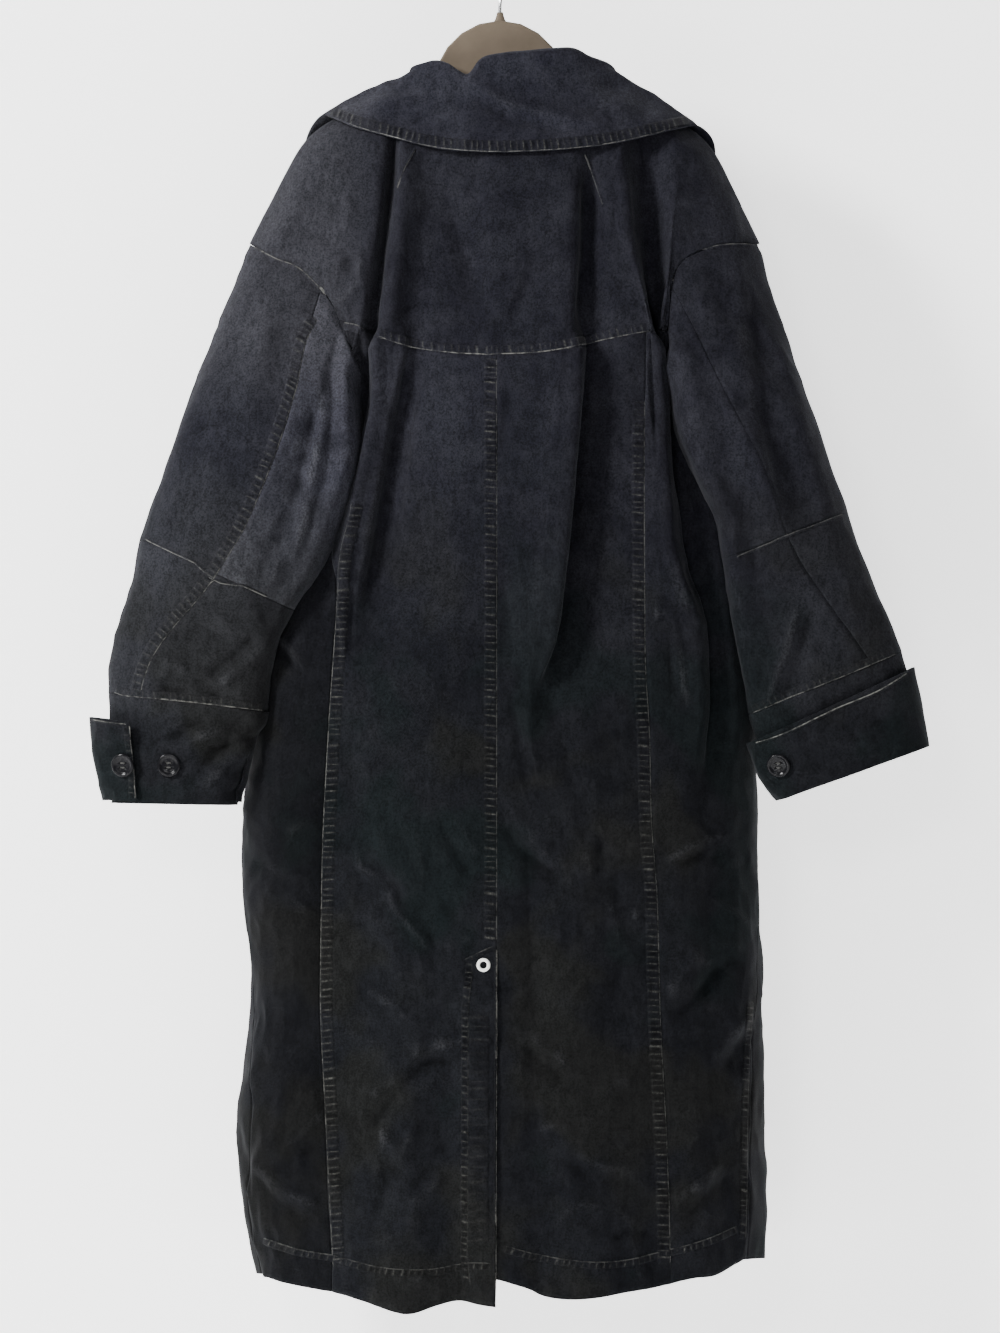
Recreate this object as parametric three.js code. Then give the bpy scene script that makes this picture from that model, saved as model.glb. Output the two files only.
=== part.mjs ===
// Duster coat hung on a hanger, seen from behind. Millimetres, +Z up, the coat's back faces -Y.
// The origin is the inside top of the hanger's hook, where it rests on a rod that runs along Y.
import * as THREE from 'three';

// Main sizes
const CLOTH = 2.2;
const COLLAR_CLOTH = 3;
const SEAM_INSET = 0.28;
const SLEEVE_START = 0.5;
const UNDERARM_START = 1.7;
const ROUNDNESS = 2.5;
const VENT_TOP = -955.9;
const VENT_LAP = 27;
const VENT_DROP = 3.4;
const FRONT_LAP = 34;
const FRONT_DROP = 4.6;
const BREAK_Z = -283;
const UNDERARM_Z = -425;
const BUTTON_RADIUS = 11.5;
const BUTTON_HEIGHT = 3.4;
const EYELET_RADIUS = 6.5;
const EYELET_HOLE = 3.4;

// The coat's outline by height: the sides' x, and how far the cloth reaches back and front
const OUTLINE = [
  { z: -126.4, left: -76.8, right: 90.2, back: 20, front: 18 },
  { z: -139.9, left: -112.3, right: 132.5, back: 25, front: 23 },
  { z: -152.4, left: -139.2, right: 154.6, back: 29, front: 27 },
  { z: -165.8, left: -169, right: 176.6, back: 32, front: 30 },
  { z: -177.3, left: -186.2, right: 193, back: 35, front: 33 },
  { z: -189.8, left: -193, right: 205.4, back: 38, front: 35 },
  { z: -203.2, left: -200.6, right: 214.1, back: 41, front: 38 },
  { z: -222.4, left: -211.2, right: 222.7, back: 44, front: 41 },
  { z: -241.6, left: -221.8, right: 231.4, back: 47, front: 44 },
  { z: -260.8, left: -232.3, right: 241, back: 50, front: 47 },
  { z: -281, left: -241.9, right: 250.6, back: 53, front: 50 },
  { z: -308.8, left: -219.8, right: 234.2, back: 57, front: 54 },
  { z: -337.6, left: -196.8, right: 213.1, back: 61, front: 57 },
  { z: -366.4, left: -174.7, right: 192, back: 65, front: 60 },
  { z: -395.2, left: -151.7, right: 174.7, back: 69, front: 63 },
  { z: -425, left: -128.6, right: 162.2, back: 72, front: 66 },
  { z: -448, left: -133.4, right: 171.8, back: 74, front: 68 },
  { z: -481.6, left: -145.9, right: 188.2, back: 76, front: 70 },
  { z: -552.7, left: -168, right: 225.6, back: 80, front: 73 },
  { z: -618, left: -196.8, right: 231.4, back: 83, front: 76 },
  { z: -664, left: -213.1, right: 232.3, back: 85, front: 78 },
  { z: -728.4, left: -227.5, right: 240, back: 88, front: 80 },
  { z: -762.9, left: -235.2, right: 242.9, back: 90, front: 81 },
  { z: -803.2, left: -242.9, right: 245.8, back: 92, front: 83 },
  { z: -833, left: -246.7, right: 246.7, back: 93, front: 84 },
  { z: -899.2, left: -246.7, right: 246.7, back: 95, front: 86 },
  { z: -982.8, left: -238.1, right: 251.5, back: 98, front: 89 },
  { z: -1072, left: -243.8, right: 251.5, back: 101, front: 92 },
  { z: -1130.6, left: -251.5, right: 252.5, back: 103, front: 94 },
  { z: -1202.6, left: -246.7, right: 254.4, back: 105, front: 97 },
  { z: -1271.7, left: -234.2, right: 251.5, back: 106, front: 99 },
  { z: -1316.8, left: -228.5, right: 247.7, back: 106, front: 100 },
];
// Lines down the back from the shoulder to the hem; out is how far a fold lifts (+) or sinks (-)
const BACK_LINES = [
  {
    name: 'side left',
    rows: [
      { z: -281, x: -241.9, out: 0 },
      { z: -295.4, x: -217.9, out: 0 },
      { z: -304, x: -195.8, out: 0 },
      { z: -318.4, x: -178.6, out: 0 },
      { z: -336.7, x: -163.2, out: 0 },
      { z: -355.9, x: -154.6, out: 0 },
      { z: -369.3, x: -149.8, out: 0 },
      { z: -400, x: -136.3, out: 0 },
      { z: -425, x: -128.6, out: 0 },
      { z: -448, x: -128.6, out: 0 },
      { z: -481.6, x: -135.8, out: 0 },
      { z: -552.7, x: -157, out: 0 },
      { z: -618, x: -185.8, out: 0 },
      { z: -664, x: -202.6, out: 0 },
      { z: -728.4, x: -217.4, out: 0 },
      { z: -803.2, x: -239, out: 0 },
      { z: -833, x: -243.8, out: 0 },
      { z: -899.2, x: -242.9, out: 0 },
      { z: -995.2, x: -235.2, out: 0 },
      { z: -1072, x: -235.2, out: 0 },
      { z: -1172.8, x: -239, out: 0 },
      { z: -1271.7, x: -227.5, out: 0 },
      { z: -1316.8, x: -222.7, out: 0 },
    ],
  },
  {
    name: 'outer lip left',
    rows: [
      { z: -138, x: -107.5, out: 0 },
      { z: -193.6, x: -109.4, out: 2 },
      { z: -314.6, x: -123.8, out: 3 },
      { z: -363.6, x: -132.5, out: 1 },
      { z: -400, x: -130.6, out: 0 },
      { z: -425, x: -123.8, out: 0 },
      { z: -481.6, x: -133.4, out: 0 },
      { z: -550.8, x: -152.6, out: 0 },
      { z: -587.2, x: -167, out: 0 },
      { z: -643.9, x: -172.8, out: 2 },
      { z: -742.8, x: -181.4, out: 3 },
      { z: -955.9, x: -186.2, out: 4 },
      { z: -1153.6, x: -180.5, out: 2 },
      { z: -1316.8, x: -176.6, out: -4 },
    ],
  },
  {
    name: 'princess left',
    rows: [
      { z: -135.1, x: -100.8, out: 0 },
      { z: -174.4, x: -101.8, out: -10 },
      { z: -193.6, x: -103.7, out: -22 },
      { z: -314.6, x: -115.2, out: -26 },
      { z: -371.2, x: -123.8, out: -24 },
      { z: -400, x: -121.4, out: -13 },
      { z: -425, x: -118.1, out: -5 },
      { z: -481.6, x: -126.7, out: -3 },
      { z: -550.8, x: -146.9, out: -2 },
      { z: -587.2, x: -154.6, out: 0 },
      { z: -643.9, x: -157.4, out: 0 },
      { z: -742.8, x: -164.2, out: -1 },
      { z: -899.2, x: -170.9, out: -1 },
      { z: -1005.8, x: -171.8, out: 0 },
      { z: -1132.5, x: -166.1, out: 0 },
      { z: -1288, x: -159.4, out: -3 },
      { z: -1316.8, x: -158.4, out: -4 },
    ],
  },
  {
    name: 'inner lip left',
    rows: [
      { z: -132.2, x: -94.1, out: 0 },
      { z: -185, x: -95, out: 3 },
      { z: -314.6, x: -108.5, out: 6 },
      { z: -373.2, x: -116.2, out: 6 },
      { z: -425, x: -110.4, out: 2 },
      { z: -481.6, x: -120, out: 2 },
      { z: -550.8, x: -138.2, out: 3 },
      { z: -587.2, x: -145.9, out: 2 },
      { z: -643.9, x: -147.8, out: 1 },
      { z: -742.8, x: -151.7, out: 0 },
      { z: -955.9, x: -155.5, out: 0 },
      { z: -1153.6, x: -150.7, out: 1 },
      { z: -1316.8, x: -143, out: 2 },
    ],
  },
  {
    name: 'left fold ridge',
    rows: [
      { z: -129.3, x: -86.4, out: 0 },
      { z: -241.6, x: -84.5, out: 2 },
      { z: -377, x: -99.8, out: 4 },
      { z: -425, x: -103.7, out: 8 },
      { z: -481.6, x: -114.2, out: 9 },
      { z: -550.8, x: -126.7, out: 9 },
      { z: -587.2, x: -132.5, out: 8 },
      { z: -643.9, x: -137.3, out: 4 },
      { z: -742.8, x: -140.2, out: 0 },
      { z: -955.9, x: -132.5, out: -2 },
      { z: -1153.6, x: -126.7, out: 2 },
      { z: -1316.8, x: -119, out: 7 },
    ],
  },
  {
    name: 'left fold hollow',
    rows: [
      { z: -126.4, x: -76.8, out: 0 },
      { z: -174.4, x: -71, out: -1 },
      { z: -241.6, x: -69.1, out: -8 },
      { z: -380.8, x: -85.4, out: -9 },
      { z: -425, x: -92.2, out: -9 },
      { z: -481.6, x: -98.9, out: -10 },
      { z: -550.8, x: -110.4, out: -10 },
      { z: -599.7, x: -118.1, out: -10 },
      { z: -664, x: -123.8, out: -4 },
      { z: -742.8, x: -122.9, out: 1 },
      { z: -955.9, x: -103.7, out: 3 },
      { z: -1153.6, x: -94.1, out: 6 },
      { z: -1316.8, x: -88.3, out: 10 },
    ],
  },
  {
    name: 'middle hollow',
    rows: [
      { z: -137, x: -36.5, out: 0 },
      { z: -184, x: -30.7, out: -1 },
      { z: -241.6, x: -29.8, out: -7 },
      { z: -337.6, x: -33.6, out: -7 },
      { z: -387.6, x: -36.5, out: -4 },
      { z: -481.6, x: -42.2, out: 0 },
      { z: -587.2, x: -49.9, out: 3 },
      { z: -742.8, x: -55.7, out: 4 },
      { z: -955.9, x: -48, out: 1 },
      { z: -1086.4, x: -51.8, out: -5 },
      { z: -1201.6, x: -46.1, out: -6 },
      { z: -1316.8, x: -40.3, out: -7 },
    ],
  },
  {
    name: 'centre',
    rows: [
      { z: -142.8, x: 0, out: 0 },
      { z: -241.6, x: -1.9, out: 2 },
      { z: -390.4, x: -2.9, out: 2 },
      { z: -587.2, x: -2.9, out: 0 },
      { z: -955.9, x: -2.9, out: 0 },
      { z: -1153.6, x: -3.4, out: 3 },
      { z: -1316.8, x: -3.8, out: 4 },
    ],
  },
  {
    name: 'right fold ridge',
    rows: [
      { z: -138, x: 49.9, out: 0 },
      { z: -184, x: 69.1, out: 1 },
      { z: -241.6, x: 70.1, out: 5 },
      { z: -385.6, x: 66.2, out: 8 },
      { z: -481.6, x: 57.6, out: 10 },
      { z: -550.8, x: 51.8, out: 10 },
      { z: -643.9, x: 43.2, out: 9 },
      { z: -690.9, x: 33.6, out: 4 },
      { z: -779.2, x: 28.8, out: 0 },
      { z: -955.9, x: 34.6, out: -3 },
      { z: -1153.6, x: 38.4, out: -2 },
      { z: -1316.8, x: 44.2, out: -3 },
    ],
  },
  {
    name: 'right fold hollow',
    rows: [
      { z: -126.4, x: 90.2, out: 0 },
      { z: -184, x: 86.4, out: -2 },
      { z: -241.6, x: 83.5, out: -10 },
      { z: -385.6, x: 77.8, out: -10 },
      { z: -481.6, x: 70.1, out: -11 },
      { z: -550.8, x: 64.3, out: -11 },
      { z: -643.9, x: 57.6, out: -9 },
      { z: -690.9, x: 49, out: -4 },
      { z: -779.2, x: 46.1, out: 0 },
      { z: -955.9, x: 59.5, out: 4 },
      { z: -1153.6, x: 71, out: 5 },
      { z: -1316.8, x: 76.8, out: 6 },
    ],
  },
  {
    name: 'princess right',
    rows: [
      { z: -131.2, x: 107.5, out: 0 },
      { z: -187.9, x: 109.4, out: 2 },
      { z: -275.2, x: 116.2, out: 3 },
      { z: -367.4, x: 139.2, out: 3 },
      { z: -455.7, x: 137.3, out: 3 },
      { z: -587.2, x: 138.2, out: 1 },
      { z: -681.3, x: 139.2, out: 0 },
      { z: -753.3, x: 143, out: 0 },
      { z: -836.8, x: 145, out: 0 },
      { z: -913.6, x: 150.7, out: -1 },
      { z: -1019.2, x: 153.6, out: -2 },
      { z: -1152.7, x: 160.3, out: -2 },
      { z: -1288, x: 165.1, out: -5 },
      { z: -1316.8, x: 166.1, out: -6 },
    ],
  },
  {
    name: 'recess lip',
    rows: [
      { z: -133.2, x: 115.2, out: 0 },
      { z: -184, x: 117.1, out: 4 },
      { z: -275.2, x: 123.8, out: 8 },
      { z: -365.5, x: 145.9, out: 8 },
      { z: -425, x: 147.8, out: 9 },
      { z: -481.6, x: 149.8, out: 10 },
      { z: -550.8, x: 152.6, out: 10 },
      { z: -587.2, x: 156.5, out: 9 },
      { z: -642.9, x: 177.6, out: 7 },
      { z: -742.8, x: 182.4, out: 5 },
      { z: -849.3, x: 182.4, out: 2 },
      { z: -955.9, x: 182.4, out: 2 },
      { z: -1153.6, x: 186.2, out: 3 },
      { z: -1316.8, x: 188.2, out: 0 },
    ],
  },
  {
    name: 'recess floor',
    rows: [
      { z: -143.7, x: 139.2, out: 0 },
      { z: -174.4, x: 141.1, out: -8 },
      { z: -193.6, x: 142.1, out: -22 },
      { z: -275.2, x: 145.9, out: -27 },
      { z: -366.4, x: 151.2, out: -26 },
      { z: -425, x: 152.6, out: -12 },
      { z: -481.6, x: 159.4, out: -12 },
      { z: -550.8, x: 169, out: -13 },
      { z: -587.2, x: 174.7, out: -12 },
      { z: -642.9, x: 193, out: -8 },
      { z: -742.8, x: 195.8, out: -5 },
      { z: -849.3, x: 196.8, out: -3 },
      { z: -955.9, x: 197.8, out: -2 },
      { z: -1153.6, x: 201.6, out: 1 },
      { z: -1316.8, x: 203.5, out: 4 },
    ],
  },
  {
    name: 'recess outer lip',
    rows: [
      { z: -156.2, x: 161.3, out: 0 },
      { z: -182.1, x: 166.1, out: 0 },
      { z: -275.2, x: 164.2, out: 2 },
      { z: -314.6, x: 161.3, out: 1 },
      { z: -366.4, x: 156, out: 0 },
      { z: -425, x: 157.4, out: -4 },
      { z: -481.6, x: 171.8, out: -5 },
      { z: -550.8, x: 189.1, out: -4 },
      { z: -587.2, x: 194.9, out: -3 },
      { z: -642.9, x: 205.4, out: -1 },
      { z: -742.8, x: 213.1, out: 0 },
      { z: -849.3, x: 217, out: 0 },
      { z: -955.9, x: 218.9, out: 1 },
      { z: -1153.6, x: 220.8, out: 0 },
      { z: -1316.8, x: 220.8, out: 1 },
    ],
  },
  {
    name: 'side right',
    rows: [
      { z: -281, x: 250.6, out: 0 },
      { z: -282.9, x: 213.1, out: 0 },
      { z: -288.7, x: 193, out: 0 },
      { z: -300.2, x: 173.8, out: 0 },
      { z: -314.6, x: 165.1, out: 0 },
      { z: -366.4, x: 161.3, out: 0 },
      { z: -425, x: 162.2, out: 0 },
      { z: -448, x: 169, out: 0 },
      { z: -481.6, x: 181.9, out: 0 },
      { z: -552.7, x: 211.2, out: 0 },
      { z: -618, x: 217.4, out: 0 },
      { z: -664, x: 221.3, out: 0 },
      { z: -728.4, x: 230.9, out: 0 },
      { z: -803.2, x: 242.9, out: 0 },
      { z: -833, x: 245.8, out: 0 },
      { z: -899.2, x: 245.8, out: 0 },
      { z: -1019.2, x: 242.9, out: 0 },
      { z: -1105.6, x: 239, out: 0 },
      { z: -1249.6, x: 232.3, out: 0 },
      { z: -1316.8, x: 230.4, out: 0 },
    ],
  },
];
// Cells across between each line and the next
const BACK_CELLS = [5, 1, 1, 1, 1, 2, 2, 3, 1, 3, 1, 1, 1, 4];
const YOKE_ROWS = 7;
const ARM_ROWS = 2;
const UPPER_ROWS = 16;
const VENT_ROWS = 8;

const YOKE_SEAM = [
  { x: -154.6, z: -355.9 },
  { x: -125.8, z: -367.4 },
  { x: -84.5, z: -383.7 },
  { x: -20.2, z: -390.4 },
  { x: -1, z: -390.4 },
  { x: 65.3, z: -384.7 },
  { x: 99.8, z: -376 },
  { x: 139.2, z: -368.4 },
  { x: 161.3, z: -366.4 },
];
// The side seams below the arms: degrees round from the back's middle
const SIDE_SEAM = [
  { z: -425, left: 90, right: 90 },
  { z: -833, left: 90, right: 88 },
  { z: -913.6, left: 86, right: 84 },
  { z: -995.2, left: 80, right: 75 },
  { z: -1072, left: 73, right: 70 },
  { z: -1130.6, left: 68, right: 68 },
  { z: -1202.6, left: 75, right: 66 },
  { z: -1288, left: 76, right: 65 },
];
const HEM_LEFT = [
  { x: -234.2, z: -1271.7 },
  { x: -199.7, z: -1281.3 },
  { x: -157.4, z: -1287.1 },
  { x: -127.7, z: -1294.8 },
  { x: -88.3, z: -1306.3 },
  { x: -69.1, z: -1303.4 },
  { x: -41.3, z: -1293.8 },
  { x: -2.9, z: -1299.6 },
];
const HEM_RIGHT = [
  { x: -4.8, z: -1272.7 },
  { x: 21.1, z: -1285.2 },
  { x: 63.4, z: -1291.9 },
  { x: 116.2, z: -1291.9 },
  { x: 150.7, z: -1283.2 },
  { x: 185.3, z: -1273.6 },
  { x: 203.5, z: -1271.7 },
  { x: 235.2, z: -1253.5 },
];
// Soft folds down the fronts: x at the chest and at the hem, how far out, and their half width
const FRONT_FOLDS = [
  { chestX: -95, hemX: -150, out: 9, wide: 20 },
  { chestX: -60, hemX: -95, out: -8, wide: 22 },
  { chestX: -25, hemX: -48, out: 5, wide: 18 },
  { chestX: 55, hemX: 82, out: 9, wide: 20 },
  { chestX: 90, hemX: 128, out: -8, wide: 22 },
  { chestX: 118, hemX: 175, out: 7, wide: 20 },
];
const FRONT_NECK_CELLS = 4;

// Sleeves by row from the armhole to the cuff seam: the outer and inner edge, half depths
const SLEEVE_LEFT = [
  { row: 0, outerX: -241.9, outerZ: -281, outerY: 0, innerX: -128.6, innerZ: -425, innerY: 0, back: 41, front: 38 },
  { row: 1, outerX: -259.2, outerZ: -327.1, outerY: -4, innerX: -138.2, innerZ: -447.1, innerY: -14, back: 44, front: 40 },
  { row: 2, outerX: -281.3, outerZ: -384.7, outerY: -12, innerX: -144, innerZ: -486.4, innerY: -36, back: 46, front: 42 },
  { row: 3, outerX: -303.4, outerZ: -447.1, outerY: -20, innerX: -156.5, innerZ: -529.6, innerY: -44, back: 46, front: 42 },
  { row: 4, outerX: -325.4, outerZ: -510.4, outerY: -26, innerX: -174.7, innerZ: -583.4, innerY: -46, back: 43, front: 40 },
  { row: 5, outerX: -344.6, outerZ: -566.1, outerY: -30, innerX: -201.6, innerZ: -633.3, innerY: -46, back: 40, front: 38 },
  { row: 6, outerX: -352.3, outerZ: -606.4, outerY: -32, innerX: -212.2, innerZ: -664, innerY: -45, back: 37, front: 35 },
  { row: 7, outerX: -363.8, outerZ: -641, outerY: -33, innerX: -217.9, innerZ: -690.9, innerY: -44, back: 34, front: 33 },
  { row: 8, outerX: -373.4, outerZ: -678.4, outerY: -34, innerX: -220.8, innerZ: -712, innerY: -43, back: 31, front: 31 },
  { row: 9, outerX: -375.4, outerZ: -714.9, outerY: -34, innerX: -222.7, innerZ: -732.2, innerY: -42, back: 30, front: 29 },
];
const SLEEVE_RIGHT = [
  { row: 0, outerX: 250.6, outerZ: -281, outerY: 0, innerX: 162.2, innerZ: -425, innerY: 0, back: 41, front: 38 },
  { row: 1, outerX: 261.1, outerZ: -325.2, outerY: -4, innerX: 175.7, innerZ: -449, innerY: -14, back: 44, front: 40 },
  { row: 2, outerX: 275.5, outerZ: -371.2, outerY: -12, innerX: 187.2, innerZ: -481.6, innerY: -36, back: 46, front: 42 },
  { row: 3, outerX: 290.9, outerZ: -419.2, outerY: -20, innerX: 203.5, innerZ: -514.3, innerY: -44, back: 46, front: 42 },
  { row: 4, outerX: 310.1, outerZ: -472, outerY: -26, innerX: 217.9, innerZ: -546, innerY: -46, back: 43, front: 40 },
  { row: 5, outerX: 333.1, outerZ: -541.2, outerY: -30, innerX: 221.8, innerZ: -585.3, innerY: -46, back: 40, front: 38 },
  { row: 6, outerX: 347.5, outerZ: -583.4, outerY: -32, innerX: 223.7, innerZ: -625.6, innerY: -45, back: 37, front: 35 },
  { row: 7, outerX: 361, outerZ: -618, outerY: -33, innerX: 228.5, innerZ: -664, innerY: -44, back: 34, front: 33 },
  { row: 8, outerX: 374.4, outerZ: -648.7, outerY: -34, innerX: 233.3, innerZ: -702.4, innerY: -43, back: 31, front: 31 },
  { row: 9, outerX: 385.9, outerZ: -675.6, outerY: -34, innerX: 239, innerZ: -735.1, innerY: -42, back: 30, front: 29 },
];
const BAND_LEFT = [
  { row: 0, outerX: -375.4, outerZ: -714.9, outerY: -34, innerX: -223.7, innerZ: -732.2, innerY: -42, back: 30, front: 29 },
  { row: 1, outerX: -374.4, outerZ: -742.8, outerY: -34, innerX: -243.8, innerZ: -758.1, innerY: -42, back: 29, front: 28 },
  { row: 2, outerX: -373.4, outerZ: -779.2, outerY: -34, innerX: -246.7, innerZ: -788.8, innerY: -42, back: 28, front: 27 },
  { row: 3, outerX: -371.5, outerZ: -820.5, outerY: -34, innerX: -253.4, innerZ: -822.4, innerY: -42, back: 27, front: 26 },
];
const BAND_RIGHT = [
  { row: 0, outerX: 385.9, outerZ: -675.6, outerY: -34, innerX: 240, innerZ: -735.1, innerY: -42, back: 30, front: 29 },
  { row: 1, outerX: 391.7, outerZ: -695.7, outerY: -34, innerX: 246.7, innerZ: -757.2, innerY: -42, back: 29, front: 28 },
  { row: 2, outerX: 398.4, outerZ: -727.4, outerY: -34, innerX: 255.4, innerZ: -786, innerY: -42, back: 28, front: 27 },
  { row: 3, outerX: 405.1, outerZ: -762, outerY: -34, innerX: 265.9, innerZ: -812.8, innerY: -42, back: 27, front: 26 },
];
const TURNBACK_LEFT = [
  { row: 0, outerX: -394.6, outerZ: -738, outerY: -34, innerX: -237.6, innerZ: -756.2, innerY: -42, back: 35, front: 34 },
  { row: 1, outerX: -390.7, outerZ: -774.4, outerY: -34, innerX: -241.4, innerZ: -784, innerY: -42, back: 34, front: 33 },
  { row: 2, outerX: -383, outerZ: -817.6, outerY: -34, innerX: -247.2, innerZ: -819.6, innerY: -42, back: 33, front: 32 },
];
const TURNBACK_RIGHT = [
  { row: 0, outerX: 398.4, outerZ: -690, outerY: -34, innerX: 238.1, innerZ: -762.9, innerY: -42, back: 35, front: 34 },
  { row: 1, outerX: 405.1, outerZ: -728.4, outerY: -34, innerX: 246.7, innerZ: -789.8, innerY: -42, back: 34, front: 33 },
  { row: 2, outerX: 412.8, outerZ: -765.8, outerY: -34, innerX: 265, innerZ: -818.6, innerY: -42, back: 33, front: 32 },
];
const UNDERARM_EASE = 4;
// The lengthwise seam: its share of the way across from the outer edge to the inner edge
const SLEEVE_SEAM = [
  { row: 0, across: 0.62 },
  { row: 2, across: 0.6 },
  { row: 4, across: 0.56 },
  { row: 5, across: 0.52 },
  { row: 6, across: 0.42 },
  { row: 8, across: 0.25 },
  { row: 9, across: 0.2 },
];
// Folds of the sleeves' back: rows run, where across, how far out, half width across
const SLEEVE_FOLDS = {
  left: [
    { name: 'upper arm hollow', fromRow: 0.6, toRow: 5.5, fromAcross: 0.78, toAcross: 0.8, out: -7, wide: 0.1 },
    { name: 'upper arm ridge', fromRow: 0.6, toRow: 6, fromAcross: 0.42, toAcross: 0.35, out: 4, wide: 0.14 },
    { name: 'forearm hollow', fromRow: 5, toRow: 8.6, fromAcross: 0.6, toAcross: 0.55, out: -6, wide: 0.1 },
  ],
  right: [
    { name: 'long ridge', fromRow: 0.4, toRow: 6, fromAcross: 0.36, toAcross: 0.66, out: 8, wide: 0.09 },
    { name: 'long hollow', fromRow: 0.4, toRow: 6.5, fromAcross: 0.2, toAcross: 0.48, out: -8, wide: 0.08 },
    { name: 'forearm hollow', fromRow: 6, toRow: 8.8, fromAcross: 0.4, toAcross: 0.9, out: -8, wide: 0.1 },
  ],
};
// Where each turned-back cuff starts and ends round the sleeve: 0 outer edge, half a turn inner edge
const TURNBACK_OPEN = {
  left: { start: 1.16, end: -3.5 },
  right: { start: 3.1, end: -2.2 },
};
const TURNBACK_CELLS = 18;
// How far each turned-back cuff's fold is drawn in towards the band it is folded from
const TURNBACK_CLOSE = { left: 2.4, right: 1.9 };
const COLLAR_CLEAR = 7.5;

// Collar lines round the neck from the left front end to the right front end
const COLLAR_LINES = [
  { name: 'front end left', side: 'front', alongNeck: 0.64, edgeX: -92.2, edgeZ: -326.1 },
  { name: 'front left', side: 'front', alongNeck: 0.42, edgeX: -155.5, edgeZ: -278.1 },
  { name: 'front upper left', side: 'front', alongNeck: 0.2, edgeX: -187.2, edgeZ: -224.4 },
  { name: 'shoulder front left', side: 'front', alongNeck: 0.1, edgeX: -189.1, edgeZ: -186.9 },
  { name: 'shoulder left', side: 'top', rollX: -82.6, rollY: 0, rollZ: -113, edgeX: -170.9, edgeZ: -157.2 },
  { name: 'shoulder back left', side: 'back', rollX: -59.5, rollY: -15, rollZ: -105.3, edgeX: -142.1, edgeZ: -169.2 },
  { name: 'back side left', side: 'back', rollX: -32.6, rollY: -24, rollZ: -118.8, edgeX: -98.9, edgeZ: -182.1 },
  { name: 'back left', side: 'back', rollX: -16.3, rollY: -29, rollZ: -103.4, edgeX: -51.8, edgeZ: -192.7 },
  { name: 'back middle', side: 'back', rollX: 14.4, rollY: -32, rollZ: -97.6, edgeX: 0, edgeZ: -195.6 },
  { name: 'back right', side: 'back', rollX: 45.1, rollY: -31, rollZ: -95.7, edgeX: 49.9, edgeZ: -193.6 },
  { name: 'back side right', side: 'back', rollX: 67.2, rollY: -26, rollZ: -93.8, edgeX: 99.8, edgeZ: -188.4 },
  { name: 'shoulder back right', side: 'back', rollX: 84.5, rollY: -16, rollZ: -100.5, edgeX: 148.8, edgeZ: -177.3 },
  { name: 'shoulder right', side: 'top', rollX: 107.5, rollY: 0, rollZ: -113, edgeX: 191, edgeZ: -166.8 },
  { name: 'shoulder front right', side: 'front', alongNeck: 0.1, edgeX: 208.3, edgeZ: -190.8 },
  { name: 'front upper right', side: 'front', alongNeck: 0.2, edgeX: 205.4, edgeZ: -234 },
  { name: 'front right', side: 'front', alongNeck: 0.4, edgeX: 165.1, edgeZ: -282.9 },
  { name: 'front end right', side: 'front', alongNeck: 0.6, edgeX: 107.5, edgeZ: -323.2 },
];
const COLLAR_STEPS = 2;
const COLLAR_ROLL = 7;
const NECK_FOOT = -123;

const HANGER_EDGE = [
  { x: -172.8, z: -184 },
  { x: -163.2, z: -179.2 },
  { x: -139.2, z: -168.7 },
  { x: -112.3, z: -156.2 },
  { x: -91.2, z: -147.6 },
  { x: -76.8, z: -139.9 },
  { x: -67.2, z: -130.3 },
  { x: -61.9, z: -116.8 },
  { x: -59, z: -105.3 },
  { x: -50.9, z: -90.9 },
  { x: -37.4, z: -77.5 },
  { x: -20.2, z: -68.4 },
  { x: 0, z: -65 },
  { x: 20.2, z: -68.4 },
  { x: 37.4, z: -77.5 },
  { x: 50.9, z: -90.9 },
  { x: 59, z: -105.3 },
  { x: 61.9, z: -116.8 },
  { x: 67.2, z: -130.3 },
  { x: 77.8, z: -140.8 },
  { x: 96, z: -148.5 },
  { x: 120, z: -155.2 },
  { x: 148.8, z: -166.8 },
  { x: 176.6, z: -182.1 },
  { x: 186.2, z: -188.8 },
  { x: 191, z: -196.5 },
  { x: 186.2, z: -199.4 },
  { x: 172.8, z: -193.6 },
  { x: 148.8, z: -177.3 },
  { x: 115.2, z: -165.8 },
  { x: 81.6, z: -162 },
  { x: 50.9, z: -157.2 },
  { x: 33.6, z: -145.6 },
  { x: 26.9, z: -130.3 },
  { x: 23, z: -116.8 },
  { x: 13.4, z: -106.3 },
  { x: 0, z: -102.4 },
  { x: -13.4, z: -106.3 },
  { x: -23, z: -116.8 },
  { x: -26.9, z: -130.3 },
  { x: -33.6, z: -145.6 },
  { x: -50.9, z: -157.2 },
  { x: -81.6, z: -162 },
  { x: -112.3, z: -169.6 },
  { x: -139.2, z: -178.3 },
  { x: -161.3, z: -189.8 },
  { x: -172.8, z: -193.6 },
  { x: -177.6, z: -189.8 },
];
const HANGER_HALF = 5;
const HOOK_WIRE = 1.9;
const HOOK_LINE = [
  { x: -21, z: -26 },
  { x: -22.5, z: -15 },
  { x: -17, z: -4 },
  { x: -9, z: 0.8 },
  { x: 0, z: 1.9 },
  { x: 10, z: -0.4 },
  { x: 19, z: -8 },
  { x: 22, z: -18 },
  { x: 18, z: -29 },
  { x: 8, z: -37 },
  { x: 1.5, z: -43 },
  { x: 0, z: -50 },
  { x: 0, z: -64.7 },
];

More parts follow.
